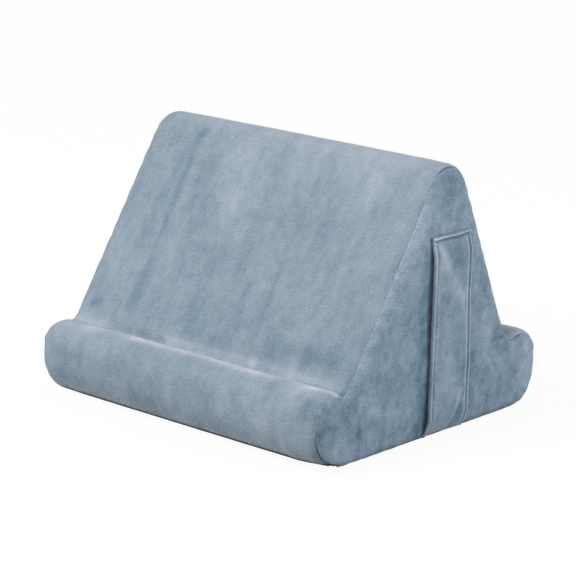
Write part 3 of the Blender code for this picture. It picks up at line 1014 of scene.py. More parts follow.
# Painted highlights on the strap's edges, inner ridges and rim, and painted shade in its stitch and hem
# grooves
EDGE_HIGHLIGHT = (0.0009, 0.0009, 4.6)
INNER_HIGHLIGHT = (0.0047, 0.0011, 2.2)
ROLL_SIDE_HIGHLIGHT_LESS = 1.6
GROOVE_SHADE = (STRAP_STITCH_INSET, 0.00075, 1.0)
GROOVE_SHADE_ROLL_SHARE = 0.5
RIM_HIGHLIGHT = (0.0011, 0.0010, 3.0)
HEM_SHADE = (STRAP_HEM, 0.0008, -2.2)
HEM_SHADE_RUN = 0.002
PAINTED_LIGHT_BELOW_HEM = 0.003
FOLD_INSET = 0.0030
FOLD_RUN = 0.0035
STRAP_DOWN_COARSE = 0.0015
STRAP_TOP_STOPS = (0.006, 0.00045)
STRAP_LOW_STOPS = (0.018, 0.0009)
STRAP_FRONT_STOPS = (0.050, 0.22, 0.020)
STRAP_BEND_STOPS = 9
STRAP_BACK_STOPS = 18

# Folds in the strap's face and marks in its nap, with places as (y, z) on the end panel. Besides
# brushed pile, the nap marks paint highlights on the folds' ridges and shade in their creases.
STRAP_FOLDS = (
    ((0.0291, 0.0347), (0.0218, 0.0222), 0.0022, 0.0011),
    ((0.0218, 0.0222), (0.0148, 0.0085), 0.0020, 0.0010),
    ((0.0330, 0.0330), (0.0250, 0.0170), 0.0030, -0.0012),
    ((0.0250, 0.0170), (0.0190, 0.0080), 0.0028, -0.0010),
    ((0.0110, 0.0130), (0.0075, 0.0070), 0.0016, -0.0007),
    ((0.0000, 0.1465), (0.0240, 0.1040), 0.0060, 0.0007),
    ((0.0130, 0.1450), (0.0270, 0.1250), 0.0070, -0.0006),
)
STRAP_NAP_AND_PAINTED_LIGHT = (
    ((0.0000, 0.1465), (0.0240, 0.1040), 0.0045, 1.50),
    ((0.0160, 0.1420), (0.0280, 0.1180), 0.0060, -0.70),
    ((0.0120, 0.0850), (0.0100, 0.0450), 0.0100, 0.60),
    ((0.0262, 0.0350), (0.0190, 0.0222), 0.0016, 1.40),
    ((0.0190, 0.0222), (0.0120, 0.0085), 0.0016, 1.40),
    ((0.0291, 0.0347), (0.0218, 0.0222), 0.0014, -1.70),
    ((0.0218, 0.0222), (0.0148, 0.0085), 0.0014, -1.70),
    ((0.0330, 0.0330), (0.0210, 0.0100), 0.0030, -0.55),
)


def strap_lengths(settings):
    """The strap's straight run down the flat end, and its whole length."""
    straight = settings.ridge_height - settings.strap_drop - END_RADIUS
    return straight, straight + END_RADIUS * (QUARTER - STRAP_LOW_TURN)


def strap_slim(distance, length):
    """How much narrower the hem draws each half of the strap: STRAP_SLIM, and 0 further down."""
    return STRAP_SLIM * (1.0 - smooth_step((distance / length - STRAP_SLIM_START) / STRAP_SLIM_RUN))


def strap_path(outline, settings, distance):
    """The strap's lie on the end panel, by distance from its top edge.

    It goes straight down the flat end, then about the lower rounding's centre line, like
    the panel itself. Gives the place (x, z), the outward normal (x, z), the middle's y, and
    how far the panel's bulge and the strap's own bow lift it.
    """
    straight, length = strap_lengths(settings)
    turn = QUARTER - np.maximum(distance - straight, 0.0) / END_RADIUS
    x = settings.width / 2.0 - END_RADIUS + END_RADIUS * np.sin(turn)
    z = END_RADIUS - END_RADIUS * np.cos(turn) + np.maximum(straight - distance, 0.0)
    ridge_y = outline.y[np.argmax(outline.z)]
    middle = ridge_y + STRAP_SHIFT - STRAP_LEAN * distance / length - strap_slim(distance, length)
    edge = np.where(distance < straight, z, (turn - SEAM_TURN) * END_RADIUS)
    swell = panel_swell(settings.ridge_height, settings.width)
    bulge = panel_rise(swell, middle, z) * smooth_step(edge / SWELL_HELD)
    off = smooth_step((distance - STRAP_HEM) / STRAP_BOW_RUN_TOP)
    off = off * smooth_step((length - distance) / STRAP_BOW_RUN_LOW)
    tucked = -STRAP_TUCK * (1.0 - smooth_step((length - distance) / STRAP_TUCK_RUN))
    lift = bulge - STRAP_BED * smooth_step(edge / STRAP_BED_RUN) + settings.strap_bow * off + tucked
    return x, z, np.sin(turn), -np.cos(turn), middle, lift


def strap_thickness(distance, length, full):
    """Full in the run, dipped at the hem stitching, and pressed thin at the low end."""
    pressed = 1.0 - smooth_step((length - distance) / STRAP_BOW_RUN_LOW)
    return full - line_at(distance, *STRAP_HEM_DIP) - (full - STRAP_END_THICKNESS) * pressed


def strap_face(across, half, distance, y, z):
    """The front's relief: edge ridges, stitch grooves that pucker, soft waves and folds."""
    inward = half - np.abs(across)
    beat = 1.0 + FACE_BEAT * np.cos(2.0 * math.pi * distance / STITCH_PITCH)
    beat = beat * np.where(across < 0.0, *FACE_BEAT_SHARES)
    below_hem = smooth_step((distance - STRAP_HEM) / FACE_BELOW_HEM)
    groove = line_at(inward, *FACE_GROOVE) * beat * below_hem
    edges = line_at(inward, *FACE_EDGE) + line_at(inward, *FACE_INNER) * below_hem
    waves = lump_field(across, distance, FACE_WAVES) * smooth_step(inward / FACE_WAVES_RUN)
    folds = marks_field(y, z, STRAP_FOLDS) * smooth_step((inward - FOLD_INSET) / FOLD_RUN)
    return groove + edges + line_at(distance, *FACE_RIM) + waves + folds


def strap_nap_and_painted_light(across, half, distance, y, z):
    """The strap's nap, with painted highlights on its raised edges and rim, and painted shade in its
    stitch and hem grooves.
    """
    inward = half - np.abs(across)
    below_hem = smooth_step((distance - STRAP_HEM) / PAINTED_LIGHT_BELOW_HEM)
    roll_side = np.where(across < 0.0, 1.0, 0.0)
    edge_place, edge_width, edge_height = EDGE_HIGHLIGHT
    inner_place, inner_width, inner_height = INNER_HIGHLIGHT
    edges = line_at(inward, edge_place, edge_width, edge_height - ROLL_SIDE_HIGHLIGHT_LESS * roll_side)
    inner = line_at(inward, inner_place, inner_width, inner_height - ROLL_SIDE_HIGHLIGHT_LESS * roll_side)
    groove = line_at(inward, *GROOVE_SHADE) * (1.0 - GROOVE_SHADE_ROLL_SHARE * roll_side)
    rim = line_at(distance, *RIM_HIGHLIGHT)
    hem = line_at(distance, *HEM_SHADE) * smooth_step(inward / HEM_SHADE_RUN)
    marks = marks_field(y, z, STRAP_NAP_AND_PAINTED_LIGHT) * smooth_step((inward - FOLD_INSET) / FOLD_RUN)
    return edges + below_hem * (inner - groove) + rim + hem + marks


def build_carry_strap(outline, settings):
    """A doubled band: rounded loops along its path, closed by a rounded end at the top.

    Each loop is a stadium of the strap's width and thickness. The front half is raised by
    strap_face along the panel's normal.
    """
    length = strap_lengths(settings)[1]
    spots = ((0.0, *STRAP_TOP_STOPS), (length, *STRAP_LOW_STOPS))
    distance = graded_stops(0.0, length, STRAP_DOWN_COARSE, spots)[:, None]

    front = stops_between(-1.0, 1.0, *STRAP_FRONT_STOPS)
    bend = np.linspace(0.0, math.pi, STRAP_BEND_STOPS)[1:-1]
    back = np.linspace(1.0, -1.0, STRAP_BACK_STOPS)
    turned = np.ones(len(bend))
    flat = np.concatenate((front, turned, back, -turned))[None, :]
    side = np.concatenate((0.0 * front, np.sin(bend), 0.0 * back, -np.sin(bend)))[None, :]
    lift = np.concatenate((0.0 * front + 1.0, np.cos(bend), 0.0 * back - 1.0, -np.cos(bend)))[None, :]

    x, z, normal_x, normal_z, middle, off = strap_path(outline, settings, distance)
    thickness = strap_thickness(distance, length, settings.strap_thickness)
    closed = np.clip(distance / STRAP_CLOSING_RUN, 0.0, 1.0)
    closing = np.sqrt(closed * (2.0 - closed))
    radius = thickness / 2.0 * np.maximum(closing, STRAP_LEAST_CLOSING)
    half = settings.strap_width / 2.0 - strap_slim(distance, length)
    half = half - STRAP_CLOSING_LESS * (1.0 - closing)
    across = flat * (half - radius) + side * radius
    y = middle + across
    face = strap_face(across, half, distance, y, z) * np.clip(lift, 0.0, 1.0) * closing
    out = STRAP_FIT + off + thickness / 2.0 + radius * lift + face
    points = stack(x + normal_x * out, y, z + normal_z * out)
    aside = stack(normal_x * lift, side + 0.0 * normal_x, normal_z * lift)

    rows, columns = across.shape
    poles = np.stack((points[0].mean(axis=0), points[-1].mean(axis=0)))
    all_points = np.concatenate((points.reshape(-1, 3), poles))
    numbers = np.arange(columns)
    following = (numbers + 1) % columns
    low = (rows - 1) * columns
    top = np.stack((np.full(columns, rows * columns), following, numbers), axis=-1)
    bottom = np.stack((np.full(columns, rows * columns + 1), numbers + low, following + low), axis=-1)
    quads = grid_quads(rows, columns, closed=True)
    all_normals = np.concatenate((aside.reshape(-1, 3), [[0.0, 0.0, 1.0], [0.0, 0.0, -1.0]]))
    cloth = stack(across, distance + 0.0 * across, 0.0)[..., :2].reshape(-1, 2)
    cloth = np.concatenate((cloth, [[0.0, 0.0], [0.0, length]]))
    # The strap's nap with its painted highlights and shade
    nap_and_painted_light = strap_nap_and_painted_light(across, half, distance, y, z) * np.clip(lift, 0.0, 1.0)
    nap_and_painted_light = np.concatenate((nap_and_painted_light.ravel(), [0.0, 0.0]))
    return build_mesh(
        "carry_strap_velvet", all_points, [quads, top, bottom], all_normals, cloth, nap_and_painted_light
    )


# A bead's stations along its half length, its size at each, and where the rows of beads lie
STITCH_RADIUS = 0.00028
STITCH_SIDES = 6
STITCH_STATIONS = (-1.0, -0.86, -0.45, 0.45, 0.86, 1.0)
STITCH_SIZES = (0.02, 0.75, 1.0, 1.0, 0.75, 0.02)
STITCH_REACH = 0.0005
SEAM_STITCH_SHARE = 0.42
ROLL_STITCH_DEEPER = 0.0009
ROLL_STITCH_END = 0.105
ROLL_STITCH_RUN = 0.010
STRAP_STITCH_START = 0.0068
STRAP_STITCH_MARGIN = 0.012
STRAP_STITCH_SINK = 0.00012
STRAP_STITCH_REACH = 0.0008
STRAP_STITCH_LENGTH = 0.0022
HEM_STITCH_PITCH = 0.0032
HEM_STITCH_MARGIN = 0.006


def build_stitches(name, centres, runs, ups, length):
    """One small thread bead for each stitch: a tube along its run, with closed tapered ends.

    A bead's point is centre + run s length / 2 + r (up cos a + aside sin a), where the
    radius r falls to nothing at both ends.
    """
    stations = np.array(STITCH_STATIONS)[:, None, None]
    radius = np.array(STITCH_SIZES)[:, None, None] * STITCH_RADIUS
    angles = (np.arange(STITCH_SIDES) * (2.0 * math.pi / STITCH_SIDES))[:, None]
    runs = runs / np.linalg.norm(runs, axis=1, keepdims=True)
    asides = np.cross(runs, ups)
    asides /= np.linalg.norm(asides, axis=1, keepdims=True)
    ups = np.cross(asides, runs)
    centres, runs, ups, asides = (row[:, None, None, :] for row in (centres, runs, ups, asides))
    points = centres + runs * (stations * length / 2.0)
    points = points + ups * ((1.0 - stations ** 2) * STITCH_RADIUS + radius * np.cos(angles))
    points = points + asides * (radius * np.sin(angles))
    each = len(stations) * STITCH_SIDES
    quads = grid_quads(len(stations), STITCH_SIDES, closed=True)
    caps = np.stack((np.arange(STITCH_SIDES)[::-1], np.arange(STITCH_SIDES) + each - STITCH_SIDES))
    starts = (np.arange(len(centres)) * each)[:, None, None]
    all_quads = (quads[None] + starts).reshape(-1, 4)
    all_caps = (caps[None] + starts).reshape(-1, STITCH_SIDES)
    normals = np.reshape(points - centres, (-1, 3))
    points = points.reshape(-1, 3)
    return build_mesh(name, points, [all_quads, all_caps], normals)


def seam_stitches(outline, settings):
    """Beads sunk in both end seams' valleys, one for each stitch along the cover strip."""
    pitch = settings.seam_stitch_pitch
    count = int(outline.cover_length / pitch)
    along = (np.arange(count) + 0.5)[:, None] * (outline.cover_length / count)
    shares = np.array([[-1.0, 1.0]])
    deeper = ROLL_STITCH_DEEPER * smooth_step((ROLL_STITCH_END - along) / ROLL_STITCH_RUN)
    depth = settings.seam_stitch_depth + deeper
    relief = cover_relief(outline, settings)
    ends = []
    for shift in (-STITCH_REACH, STITCH_REACH):
        points, normals, _ = strip_surface(
            outline, along + shift, shares, settings.width, depth, relief
        )
        ends.append(points.reshape(-1, 3))
    centres = (ends[0] + ends[1]) / 2.0
    return build_stitches(
        "end_seam_stitches", centres, ends[1] - ends[0], normals.reshape(-1, 3),
        pitch * SEAM_STITCH_SHARE,
    )


def strap_stitches(outline, settings):
    """Beads in the strap's two edge grooves and in its hem groove."""
    length = strap_lengths(settings)[1]
    half = settings.strap_width / 2.0
    count = int((length - STRAP_STITCH_MARGIN) / STITCH_PITCH)
    distance = STRAP_STITCH_START + np.arange(count) * STITCH_PITCH
    inset = half - strap_slim(distance, length) - STRAP_STITCH_INSET
    rows = [(side * inset, distance, 0.0, STRAP_STITCH_REACH) for side in (-1.0, 1.0)]
    hem_count = int((settings.strap_width - HEM_STITCH_MARGIN) / HEM_STITCH_PITCH)
    hem_across = (np.arange(hem_count) + 0.5 - hem_count / 2.0) * HEM_STITCH_PITCH
    rows.append((hem_across, np.full(hem_count, STRAP_HEM), STRAP_STITCH_REACH, 0.0))
    centres, runs, ups = [], [], []
    for across, down, step_across, step_down in rows:
        ends = []
        for sign in (-1.0, 1.0):
            place = down + sign * step_down
            over = across + sign * step_across
            x, z, normal_x, normal_z, middle, off = strap_path(outline, settings, place)
            thickness = strap_thickness(place, length, settings.strap_thickness)
            y = middle + over
            face = strap_face(over + 0.0 * place, half - strap_slim(place, length), place, y, z)
            out = STRAP_FIT + off + thickness + face - STRAP_STITCH_SINK
            ends.append(stack(x + normal_x * out, y, z + normal_z * out))
        centres.append((ends[0] + ends[1]) / 2.0)
        runs.append(ends[1] - ends[0])
        ups.append(stack(normal_x, 0.0 * normal_x, normal_z))
    return build_stitches(
        "strap_stitches", np.concatenate(centres), np.concatenate(runs), np.concatenate(ups),
        STRAP_STITCH_LENGTH,
    )


def new_tree(name, inputs, outputs):
    """A shader node group with its sockets, given as (name, kind, default)."""
    group = bpy.data.node_groups.new(name, "ShaderNodeTree")
    for label, kind, default in inputs:
        socket = group.interface.new_socket(name=label, in_out="INPUT", socket_type=kind)
        if default is not None:
            socket.default_value = default
    for label, kind in outputs:
        group.interface.new_socket(name=label, in_out="OUTPUT", socket_type=kind)
    return group, group.nodes.new("NodeGroupInput"), group.nodes.new("NodeGroupOutput")


def feed(tree, node, inputs):
    """Give a node its inputs, by name or number: a socket is linked, and a value is set."""
    for label, value in inputs.items():
        if isinstance(value, bpy.types.NodeSocket):
            tree.links.new(value, node.inputs[label])
        else:
            node.inputs[label].default_value = value


def add_node(tree, kind, inputs, **settings):
    """A shader node with its settings and its inputs."""
    node = tree.nodes.new("ShaderNode" + kind)
    for label, value in settings.items():
        setattr(node, label, value)
    feed(tree, node, inputs)
    return node


NOISE_ROUGHNESS = 0.55
NOISE_MIDDLE = 0.5


def noise_at(tree, vector, scale, detail, stretch=(1.0, 1.0, 1.0), shift=(0.0, 0.0, 0.0), warp=0.0):
    """A noise value on stretched coordinates: noise(stretch * vector + shift)."""
    placed = add_node(tree, "Mapping", {"Vector": vector, "Scale": stretch, "Location": shift})
    noise = {"Scale": scale, "Detail": detail, "Roughness": NOISE_ROUGHNESS, "Distortion": warp}
    return add_node(tree, "TexNoise", {"Vector": placed.outputs["Vector"], **noise}).outputs["Fac"]


def math_node(tree, operation, *values):
    """One Math node, whose inputs are sockets or numbers."""
    return add_node(tree, "Math", dict(enumerate(values)), operation=operation).outputs[0]


def blend(tree, share, first, second):
    """The first colour where the share is 0 and the second where it is 1, and on past both."""
    mixed = add_node(
        tree, "Mix", {"Factor": share, "A": first, "B": second}, data_type="RGBA", clamp_factor=False
    )
    return mixed.outputs["Result"]


def swing(tree, value, amount):
    """A noise's swing about its middle: (value - NOISE_MIDDLE) * amount."""
    return math_node(tree, "MULTIPLY", math_node(tree, "SUBTRACT", value, NOISE_MIDDLE), amount)


# The pile's noises, each as (scale, detail, stretch, shift, warp), and how far each swings the nap
NAP_NOISES = {
    "cloud": (13.0, 2.0, (1.0, 0.75, 1.0), (3.1, 1.7, 0.0), 0.4),
    "mottle": (48.0, 3.0, (1.0, 0.7, 1.0), (0.3, 4.9, 0.0), 0.5),
    "fine_mottle": (150.0, 2.0, (1.0, 0.8, 1.0), (7.7, 2.2, 0.0)),
    "streak": (60.0, 3.0, (1.0, 0.11, 1.0), (5.3, 0.4, 0.0), 0.3),
    "grain": (820.0, 2.0),
    "fibre": (2200.0, 1.0, (1.0, 0.35, 1.0)),
    "crush": (44.0, 4.0, (1.0, 0.7, 1.0), (2.4, 9.1, 0.0), 0.3),
}
NAP_SWINGS = {
    "cloud": 0.95, "mottle": 0.95, "fine_mottle": 0.90, "streak": 0.75, "grain": 1.80, "fibre": 1.00,
}
VEIN_WIDTH = 0.07
VEIN_STRENGTH = 2.4
MARKS_STRENGTH = 0.42
MIDDLE_NAP = 0.5
# The two ranges reach past the dark and light colours, to carry the painted shade near the floor and the
# painted highlights
DARK_RANGE = {"From Min": -0.6, "From Max": MIDDLE_NAP, "To Min": -1.2}
LIGHT_RANGE = {"From Min": MIDDLE_NAP, "From Max": 2.4, "To Max": 3.8}
NAP_ROUGHNESS = (-0.12, 0.86)
FUZZ_HEIGHT = 0.5
MOTTLE_HEIGHT = 0.6


def velvet_nap_group():
    """How a brushed velvet's pile lies: its colour, roughness and height over the cloth.

    The nap is MIDDLE_NAP plus soft clouds, mottling, crushed veins, long streaks down the
    cloth, fine fibre grain and the piece's own marks, which hold painted highlights and shade
    besides brushed pile. Low nap shows pile brushed away, which looks darker and greener, and
    painted shade; high nap shows pile that lies towards the light, which looks paler, and
    painted highlights.
    """
    tree, given, made = new_tree(
        "velvet_nap",
        [
            ("Vector", "NodeSocketVector", None), ("Marks", "NodeSocketFloat", 0.0),
            ("Dark", "NodeSocketColor", (0.2, 0.3, 0.4, 1.0)),
            ("Middle", "NodeSocketColor", (0.3, 0.4, 0.5, 1.0)),
            ("Light", "NodeSocketColor", (0.4, 0.5, 0.6, 1.0)),
            ("Mottle", "NodeSocketFloat", 1.0), ("Streaks", "NodeSocketFloat", 1.0),
            ("Grain", "NodeSocketFloat", 1.0), ("Crush", "NodeSocketFloat", 0.5),
        ],
        [("Color", "NodeSocketColor"), ("Roughness", "NodeSocketFloat"), ("Height", "NodeSocketFloat")],
    )
    place = given.outputs["Vector"]
    noises = {label: noise_at(tree, place, *noise) for label, noise in NAP_NOISES.items()}
    swings = {label: swing(tree, noises[label], amount) for label, amount in NAP_SWINGS.items()}

    vein = math_node(tree, "ABSOLUTE", math_node(tree, "SUBTRACT", noises["crush"], NOISE_MIDDLE))
    vein = math_node(tree, "SUBTRACT", VEIN_WIDTH, vein)
    vein = math_node(tree, "MULTIPLY", vein, given.outputs["Crush"])
    broad = math_node(tree, "ADD", swings["cloud"], swings["mottle"])
    broad = math_node(tree, "ADD", broad, swings["fine_mottle"])
    broad = math_node(tree, "MULTIPLY_ADD", vein, VEIN_STRENGTH, broad)
    broad = math_node(tree, "MULTIPLY", broad, given.outputs["Mottle"])
    long_marks = math_node(tree, "MULTIPLY", swings["streak"], given.outputs["Streaks"])
    fuzz = math_node(tree, "ADD", swings["grain"], swings["fibre"])
    fuzz = math_node(tree, "MULTIPLY", fuzz, given.outputs["Grain"])
    own = math_node(tree, "MULTIPLY", given.outputs["Marks"], MARKS_STRENGTH)
    nap_and_painted_light = math_node(tree, "ADD", math_node(tree, "ADD", broad, long_marks), own)
    shown = math_node(tree, "ADD", math_node(tree, "ADD", nap_and_painted_light, fuzz), MIDDLE_NAP)
    low = add_node(tree, "MapRange", {"Value": shown, **DARK_RANGE}).outputs["Result"]
    high = add_node(tree, "MapRange", {"Value": shown, **LIGHT_RANGE}).outputs["Result"]
    dim = blend(tree, low, given.outputs["Dark"], given.outputs["Middle"])
    height = math_node(tree, "MULTIPLY", fuzz, FUZZ_HEIGHT)
    feed(tree, made, {
        "Color": blend(tree, high, dim, given.outputs["Light"]),
        "Roughness": math_node(tree, "MULTIPLY_ADD", nap_and_painted_light, *NAP_ROUGHNESS),
        "Height": math_node(tree, "ADD", height, swing(tree, noises["fine_mottle"], MOTTLE_HEIGHT)),
    })
    return tree


PLAIN_SPECULAR = 0.15


def opaque(colour, share=1.0):
    """A share of a colour, with full alpha."""
    return (*(share * channel for channel in colour), 1.0)


def plain_material(name, colour, roughness):
    """A Principled material in one view colour, whose nodes the caller adds to."""
    material = bpy.data.materials.new(name)
    material.use_nodes = True
    material.diffuse_color = opaque(colour)
    shader = material.node_tree.nodes["Principled BSDF"]
    values = {"Roughness": roughness, "Metallic": 0.0, "Specular IOR Level": PLAIN_SPECULAR}
    feed(material.node_tree, shader, values)
    return material, material.node_tree, shader


def add_bump(tree, shader, height, strength, distance):
    """Feed a height to the shader's normal."""
    bump = add_node(tree, "Bump", {"Height": height, "Strength": strength, "Distance": distance})
    feed(tree, shader, {"Normal": bump.outputs["Normal"]})


def two_tones(tree, shader, amount, colour, dark, light=1.0, places=(0.0, 1.0)):
    """The shader's colour: its dark share at the first place of the amount, light at the second."""
    ramp = add_node(tree, "ValToRGB", {"Fac": amount})
    for stop, place, share in zip(ramp.color_ramp.elements, places, (dark, light)):
        stop.position = place
        stop.color = opaque(colour, share)
    feed(tree, shader, {"Base Color": ramp.outputs["Color"]})


def mix_to_surface(tree, output, share, first, second):
    """Show the first shader where the share is 0, and the second where it is 1."""
    mix = add_node(tree, "MixShader", {"Fac": share, 1: first.outputs[0], 2: second.outputs[0]})
    feed(tree, output, {"Surface": mix.outputs["Shader"]})


VELVET_ROUGHNESS = 0.85
VELVET_SHEEN = {"Sheen Weight": 1.0, "Sheen Roughness": 0.26, "Sheen Tint": (0.86, 0.90, 1.0, 1.0)}
VELVET_BUMP = (0.60, 0.0009)
# The painted contact shade: a dark share of the velvet colour, without sheen
CONTACT_SHADE_SHARE = 0.16
CONTACT_SHADE_FINISH = {"Roughness": 0.95, "Specular IOR Level": 0.05}


def velvet_material(name, colours, tone, turn=0.0, shift=(0.0, 0.0, 0.0), **amounts):
    """The velvet for one piece: the nap group on the piece's own cloth coordinates.

    Where the piece's shade is 1, a dark painted contact shade without sheen shows instead.
    """
    material, tree, shader = plain_material(name, colours.velvet, VELVET_ROUGHNESS)
    cloth = add_node(tree, "UVMap", {}, uv_map="cloth")
    placed = add_node(
        tree, "Mapping",
        {"Vector": cloth.outputs["UV"], "Rotation": (0.0, 0.0, turn), "Location": shift},
    )
    # The nap attribute holds brushed pile marks together with painted highlights and shade
    marks = add_node(tree, "Attribute", {}, attribute_name="nap_and_painted_light")
    shade = add_node(tree, "Attribute", {}, attribute_name="shade")
    nap_and_painted_light = add_node(tree, "Group", {}, node_tree=bpy.data.node_groups["velvet_nap"])
    feed(tree, nap_and_painted_light, {"Vector": placed.outputs["Vector"], "Marks": marks.outputs["Fac"], **amounts})
    naps = {"Dark": colours.velvet_dark, "Middle": colours.velvet, "Light": colours.velvet_light}
    feed(tree, nap_and_painted_light, {label: opaque(np.multiply(tone, colour)) for label, colour in naps.items()})
    feed(tree, shader, {
        "Base Color": nap_and_painted_light.outputs["Color"], "Roughness": nap_and_painted_light.outputs["Roughness"], **VELVET_SHEEN,
    })
    add_bump(tree, shader, nap_and_painted_light.outputs["Height"], *VELVET_BUMP)
    # Painted contact shade where the cushion meets the floor
    contact_shader = add_node(
        tree, "BsdfPrincipled", {"Base Color": opaque(colours.velvet, CONTACT_SHADE_SHARE), **CONTACT_SHADE_FINISH}
    )
    mix_to_surface(tree, tree.nodes["Material Output"], shade.outputs["Fac"], shader, contact_shader)
    return material


WEAVE_WAVE = {"Scale": 260.0, "Distortion": 0.6}
WEAVE_SHARE = 0.5
CELL_SHARE = 0.6


def base_cloth_material(colours):
    """Plain woven cloth: two crossing waves for its threads, and a slow mottle."""
    material, tree, shader = plain_material("base_cloth", colours.base, roughness=0.9)
    cloth = add_node(tree, "UVMap", {}, uv_map="cloth").outputs["UV"]
    waves = [
        add_node(tree, "TexWave", {"Vector": cloth, **WEAVE_WAVE}, bands_direction=direction)
        for direction in ("X", "Y")
    ]
    weave = math_node(tree, "MULTIPLY", waves[0].outputs["Fac"], waves[1].outputs["Fac"])
    cloud = noise_at(tree, cloth, scale=30.0, detail=3.0)
    amount = math_node(tree, "MULTIPLY_ADD", weave, WEAVE_SHARE, cloud)
    two_tones(tree, shader, amount, colours.base, dark=0.72, light=1.25, places=(0.2, 1.1))
    add_bump(tree, shader, weave, strength=0.4, distance=0.0003)
    return material


def foam_material(colours):
    """Open-cell foam: small round cells from a Voronoi distance, and a slow yellowing."""
    material, tree, shader = plain_material("cut_foam", colours.foam, roughness=0.95)
    place = add_node(tree, "TexCoord", {}).outputs["Object"]
    cells = add_node(tree, "TexVoronoi", {"Vector": place, "Scale": 900.0}).outputs["Distance"]
    cloud = noise_at(tree, place, scale=18.0, detail=2.0)
    amount = math_node(tree, "MULTIPLY_ADD", cells, CELL_SHARE, cloud)
    two_tones(tree, shader, amount, colours.foam, dark=0.80)
    add_bump(tree, shader, cells, strength=0.5, distance=0.0005)
    return material


def thread_material(colours):
    """Spun sewing thread: fine twisted plies from a slanted wave."""
    material, tree, shader = plain_material("sewing_thread", colours.thread, roughness=0.6)
    place = add_node(tree, "TexCoord", {}).outputs["Object"]
    plies = add_node(
        tree, "TexWave", {"Vector": place, "Scale": 900.0}, bands_direction="DIAGONAL"
    ).outputs["Fac"]
    two_tones(tree, shader, plies, colours.thread, dark=0.7)
    add_bump(tree, shader, plies, strength=0.3, distance=0.0001)
    return material


# The camera's place and its right, up and back directions, from the fit to the photograph
CAMERA_PLACE = (1.34267, -1.42418, 0.62748)
CAMERA_RIGHT = (0.7278, 0.6858, 0.0)
CAMERA_UP = (-0.1821, 0.1932, 0.9641)
CAMERA_BACK = (0.6612, -0.7017, 0.2655)
CAMERA_LENS = 163.03
CAMERA_SENSOR = 36.0
CAMERA_CLIP = (0.01, 50.0)

# The studio: the floor is seen nearly white, and the lamps are (name, place, size, power, colour)
WHITE = (1.0, 1.0, 1.0, 1.0)
FLOOR_LEVEL = -0.0006
FLOOR_HALF = 9.0
FLOOR_LINES = 7
FLOOR_COLOUR = (0.52, 0.52, 0.52)
FLOOR_ROUGHNESS = 0.9
FLOOR_GLOW = 1.07
FLOOR_GLOW_SHARE = 0.88
WORLD_COLOUR = (0.97, 0.98, 1.0, 1.0)
WORLD_STRENGTH = 0.43
LAMP_AIM = (0.0, 0.0, 0.08)
LAMPS = (
    ("key_lamp", (-1.0, -2.3, 2.1), 1.5, 76.0, (1.0, 0.99, 0.97)),
    ("side_lamp", (2.45, 1.1, 0.9), 1.6, 33.0, (0.95, 0.97, 1.0)),
)


def seen_directly(tree):
    """1 for camera, mirror and see-through rays, and 0 for the rays that light things."""
    path = add_node(tree, "LightPath", {}).outputs
    seen = math_node(tree, "MAXIMUM", path["Is Camera Ray"], path["Is Glossy Ray"])
    return math_node(tree, "MAXIMUM", seen, path["Is Transmission Ray"])


def build_camera():
    """The camera at the photograph's place, turned by its three directions."""
    data = bpy.data.cameras.new("camera")
    data.lens = CAMERA_LENS
    data.sensor_width = CAMERA_SENSOR
    data.sensor_fit = "HORIZONTAL"
    data.clip_start, data.clip_end = CAMERA_CLIP
    camera = bpy.data.objects.new("camera", data)
    bpy.context.scene.collection.objects.link(camera)
    turned = Matrix((CAMERA_RIGHT, CAMERA_UP, CAMERA_BACK)).transposed().to_4x4()
    camera.matrix_world = Matrix.Translation(CAMERA_PLACE) @ turned
    bpy.context.scene.camera = camera


def build_floor():
    """A wide pale floor: it is seen as nearly white, and keeps the stand's soft shadow."""
    lines = np.linspace(-FLOOR_HALF, FLOOR_HALF, FLOOR_LINES)
    points = stack(lines[None, :], lines[:, None], FLOOR_LEVEL)
    up = stack(0.0 * points[..., 0], 0.0, 1.0)
    floor = build_mesh("studio_floor", points, [grid_quads(FLOOR_LINES, FLOOR_LINES)], up)
    material, tree, shader = plain_material("studio_floor", FLOOR_COLOUR, FLOOR_ROUGHNESS)
    feed(tree, shader, {"Base Color": opaque(FLOOR_COLOUR)})
    glow = add_node(tree, "Emission", {"Color": WHITE, "Strength": FLOOR_GLOW})
    share = math_node(tree, "MULTIPLY", seen_directly(tree), FLOOR_GLOW_SHARE)
    mix_to_surface(tree, tree.nodes["Material Output"], share, shader, glow)
    floor.data.materials.append(material)


def build_world():
    """Plain grey light from all round, and white where the camera looks past the floor."""
    world = bpy.data.worlds.new("studio_world")
    bpy.context.scene.world = world
    world.use_nodes = True
    tree = world.node_tree
    tree.nodes.clear()
    light = add_node(tree, "Background", {"Color": WORLD_COLOUR, "Strength": WORLD_STRENGTH})
    seen = add_node(tree, "Background", {"Color": WHITE, "Strength": 1.0})
    mix_to_surface(tree, add_node(tree, "OutputWorld", {}), seen_directly(tree), light, seen)


def add_lamp(name, place, aim, size, power, colour):
    """A square soft lamp at a place, whose face looks at the aim."""
    data = bpy.data.lights.new(name, "AREA")
    data.shape = "SQUARE"
    data.size = size
    data.energy = power
    data.color = colour
    lamp = bpy.data.objects.new(name, data)
    bpy.context.scene.collection.objects.link(lamp)
    back = np.subtract(place, aim)
    back = back / np.linalg.norm(back)
    right = np.cross((0.0, 0.0, 1.0), back)
    right = right / np.linalg.norm(right)
    up = np.cross(back, right)
    turned = Matrix((right.tolist(), up.tolist(), back.tolist())).transposed().to_4x4()
    lamp.matrix_world = Matrix.Translation(place) @ turned


def number(name, description, default, low, high, **more):
    """A length property in metres."""
    return bpy.props.FloatProperty(
        name=name, description=description, default=default, min=low, max=high,
        unit="LENGTH", precision=4, **more,
    )


def paint(name, description, default):
    """A colour property in linear red, green and blue."""
    return bpy.props.FloatVectorProperty(
        name=name, description=description, default=default, size=3, min=0.0, max=1.0,
        subtype="COLOR",
    )


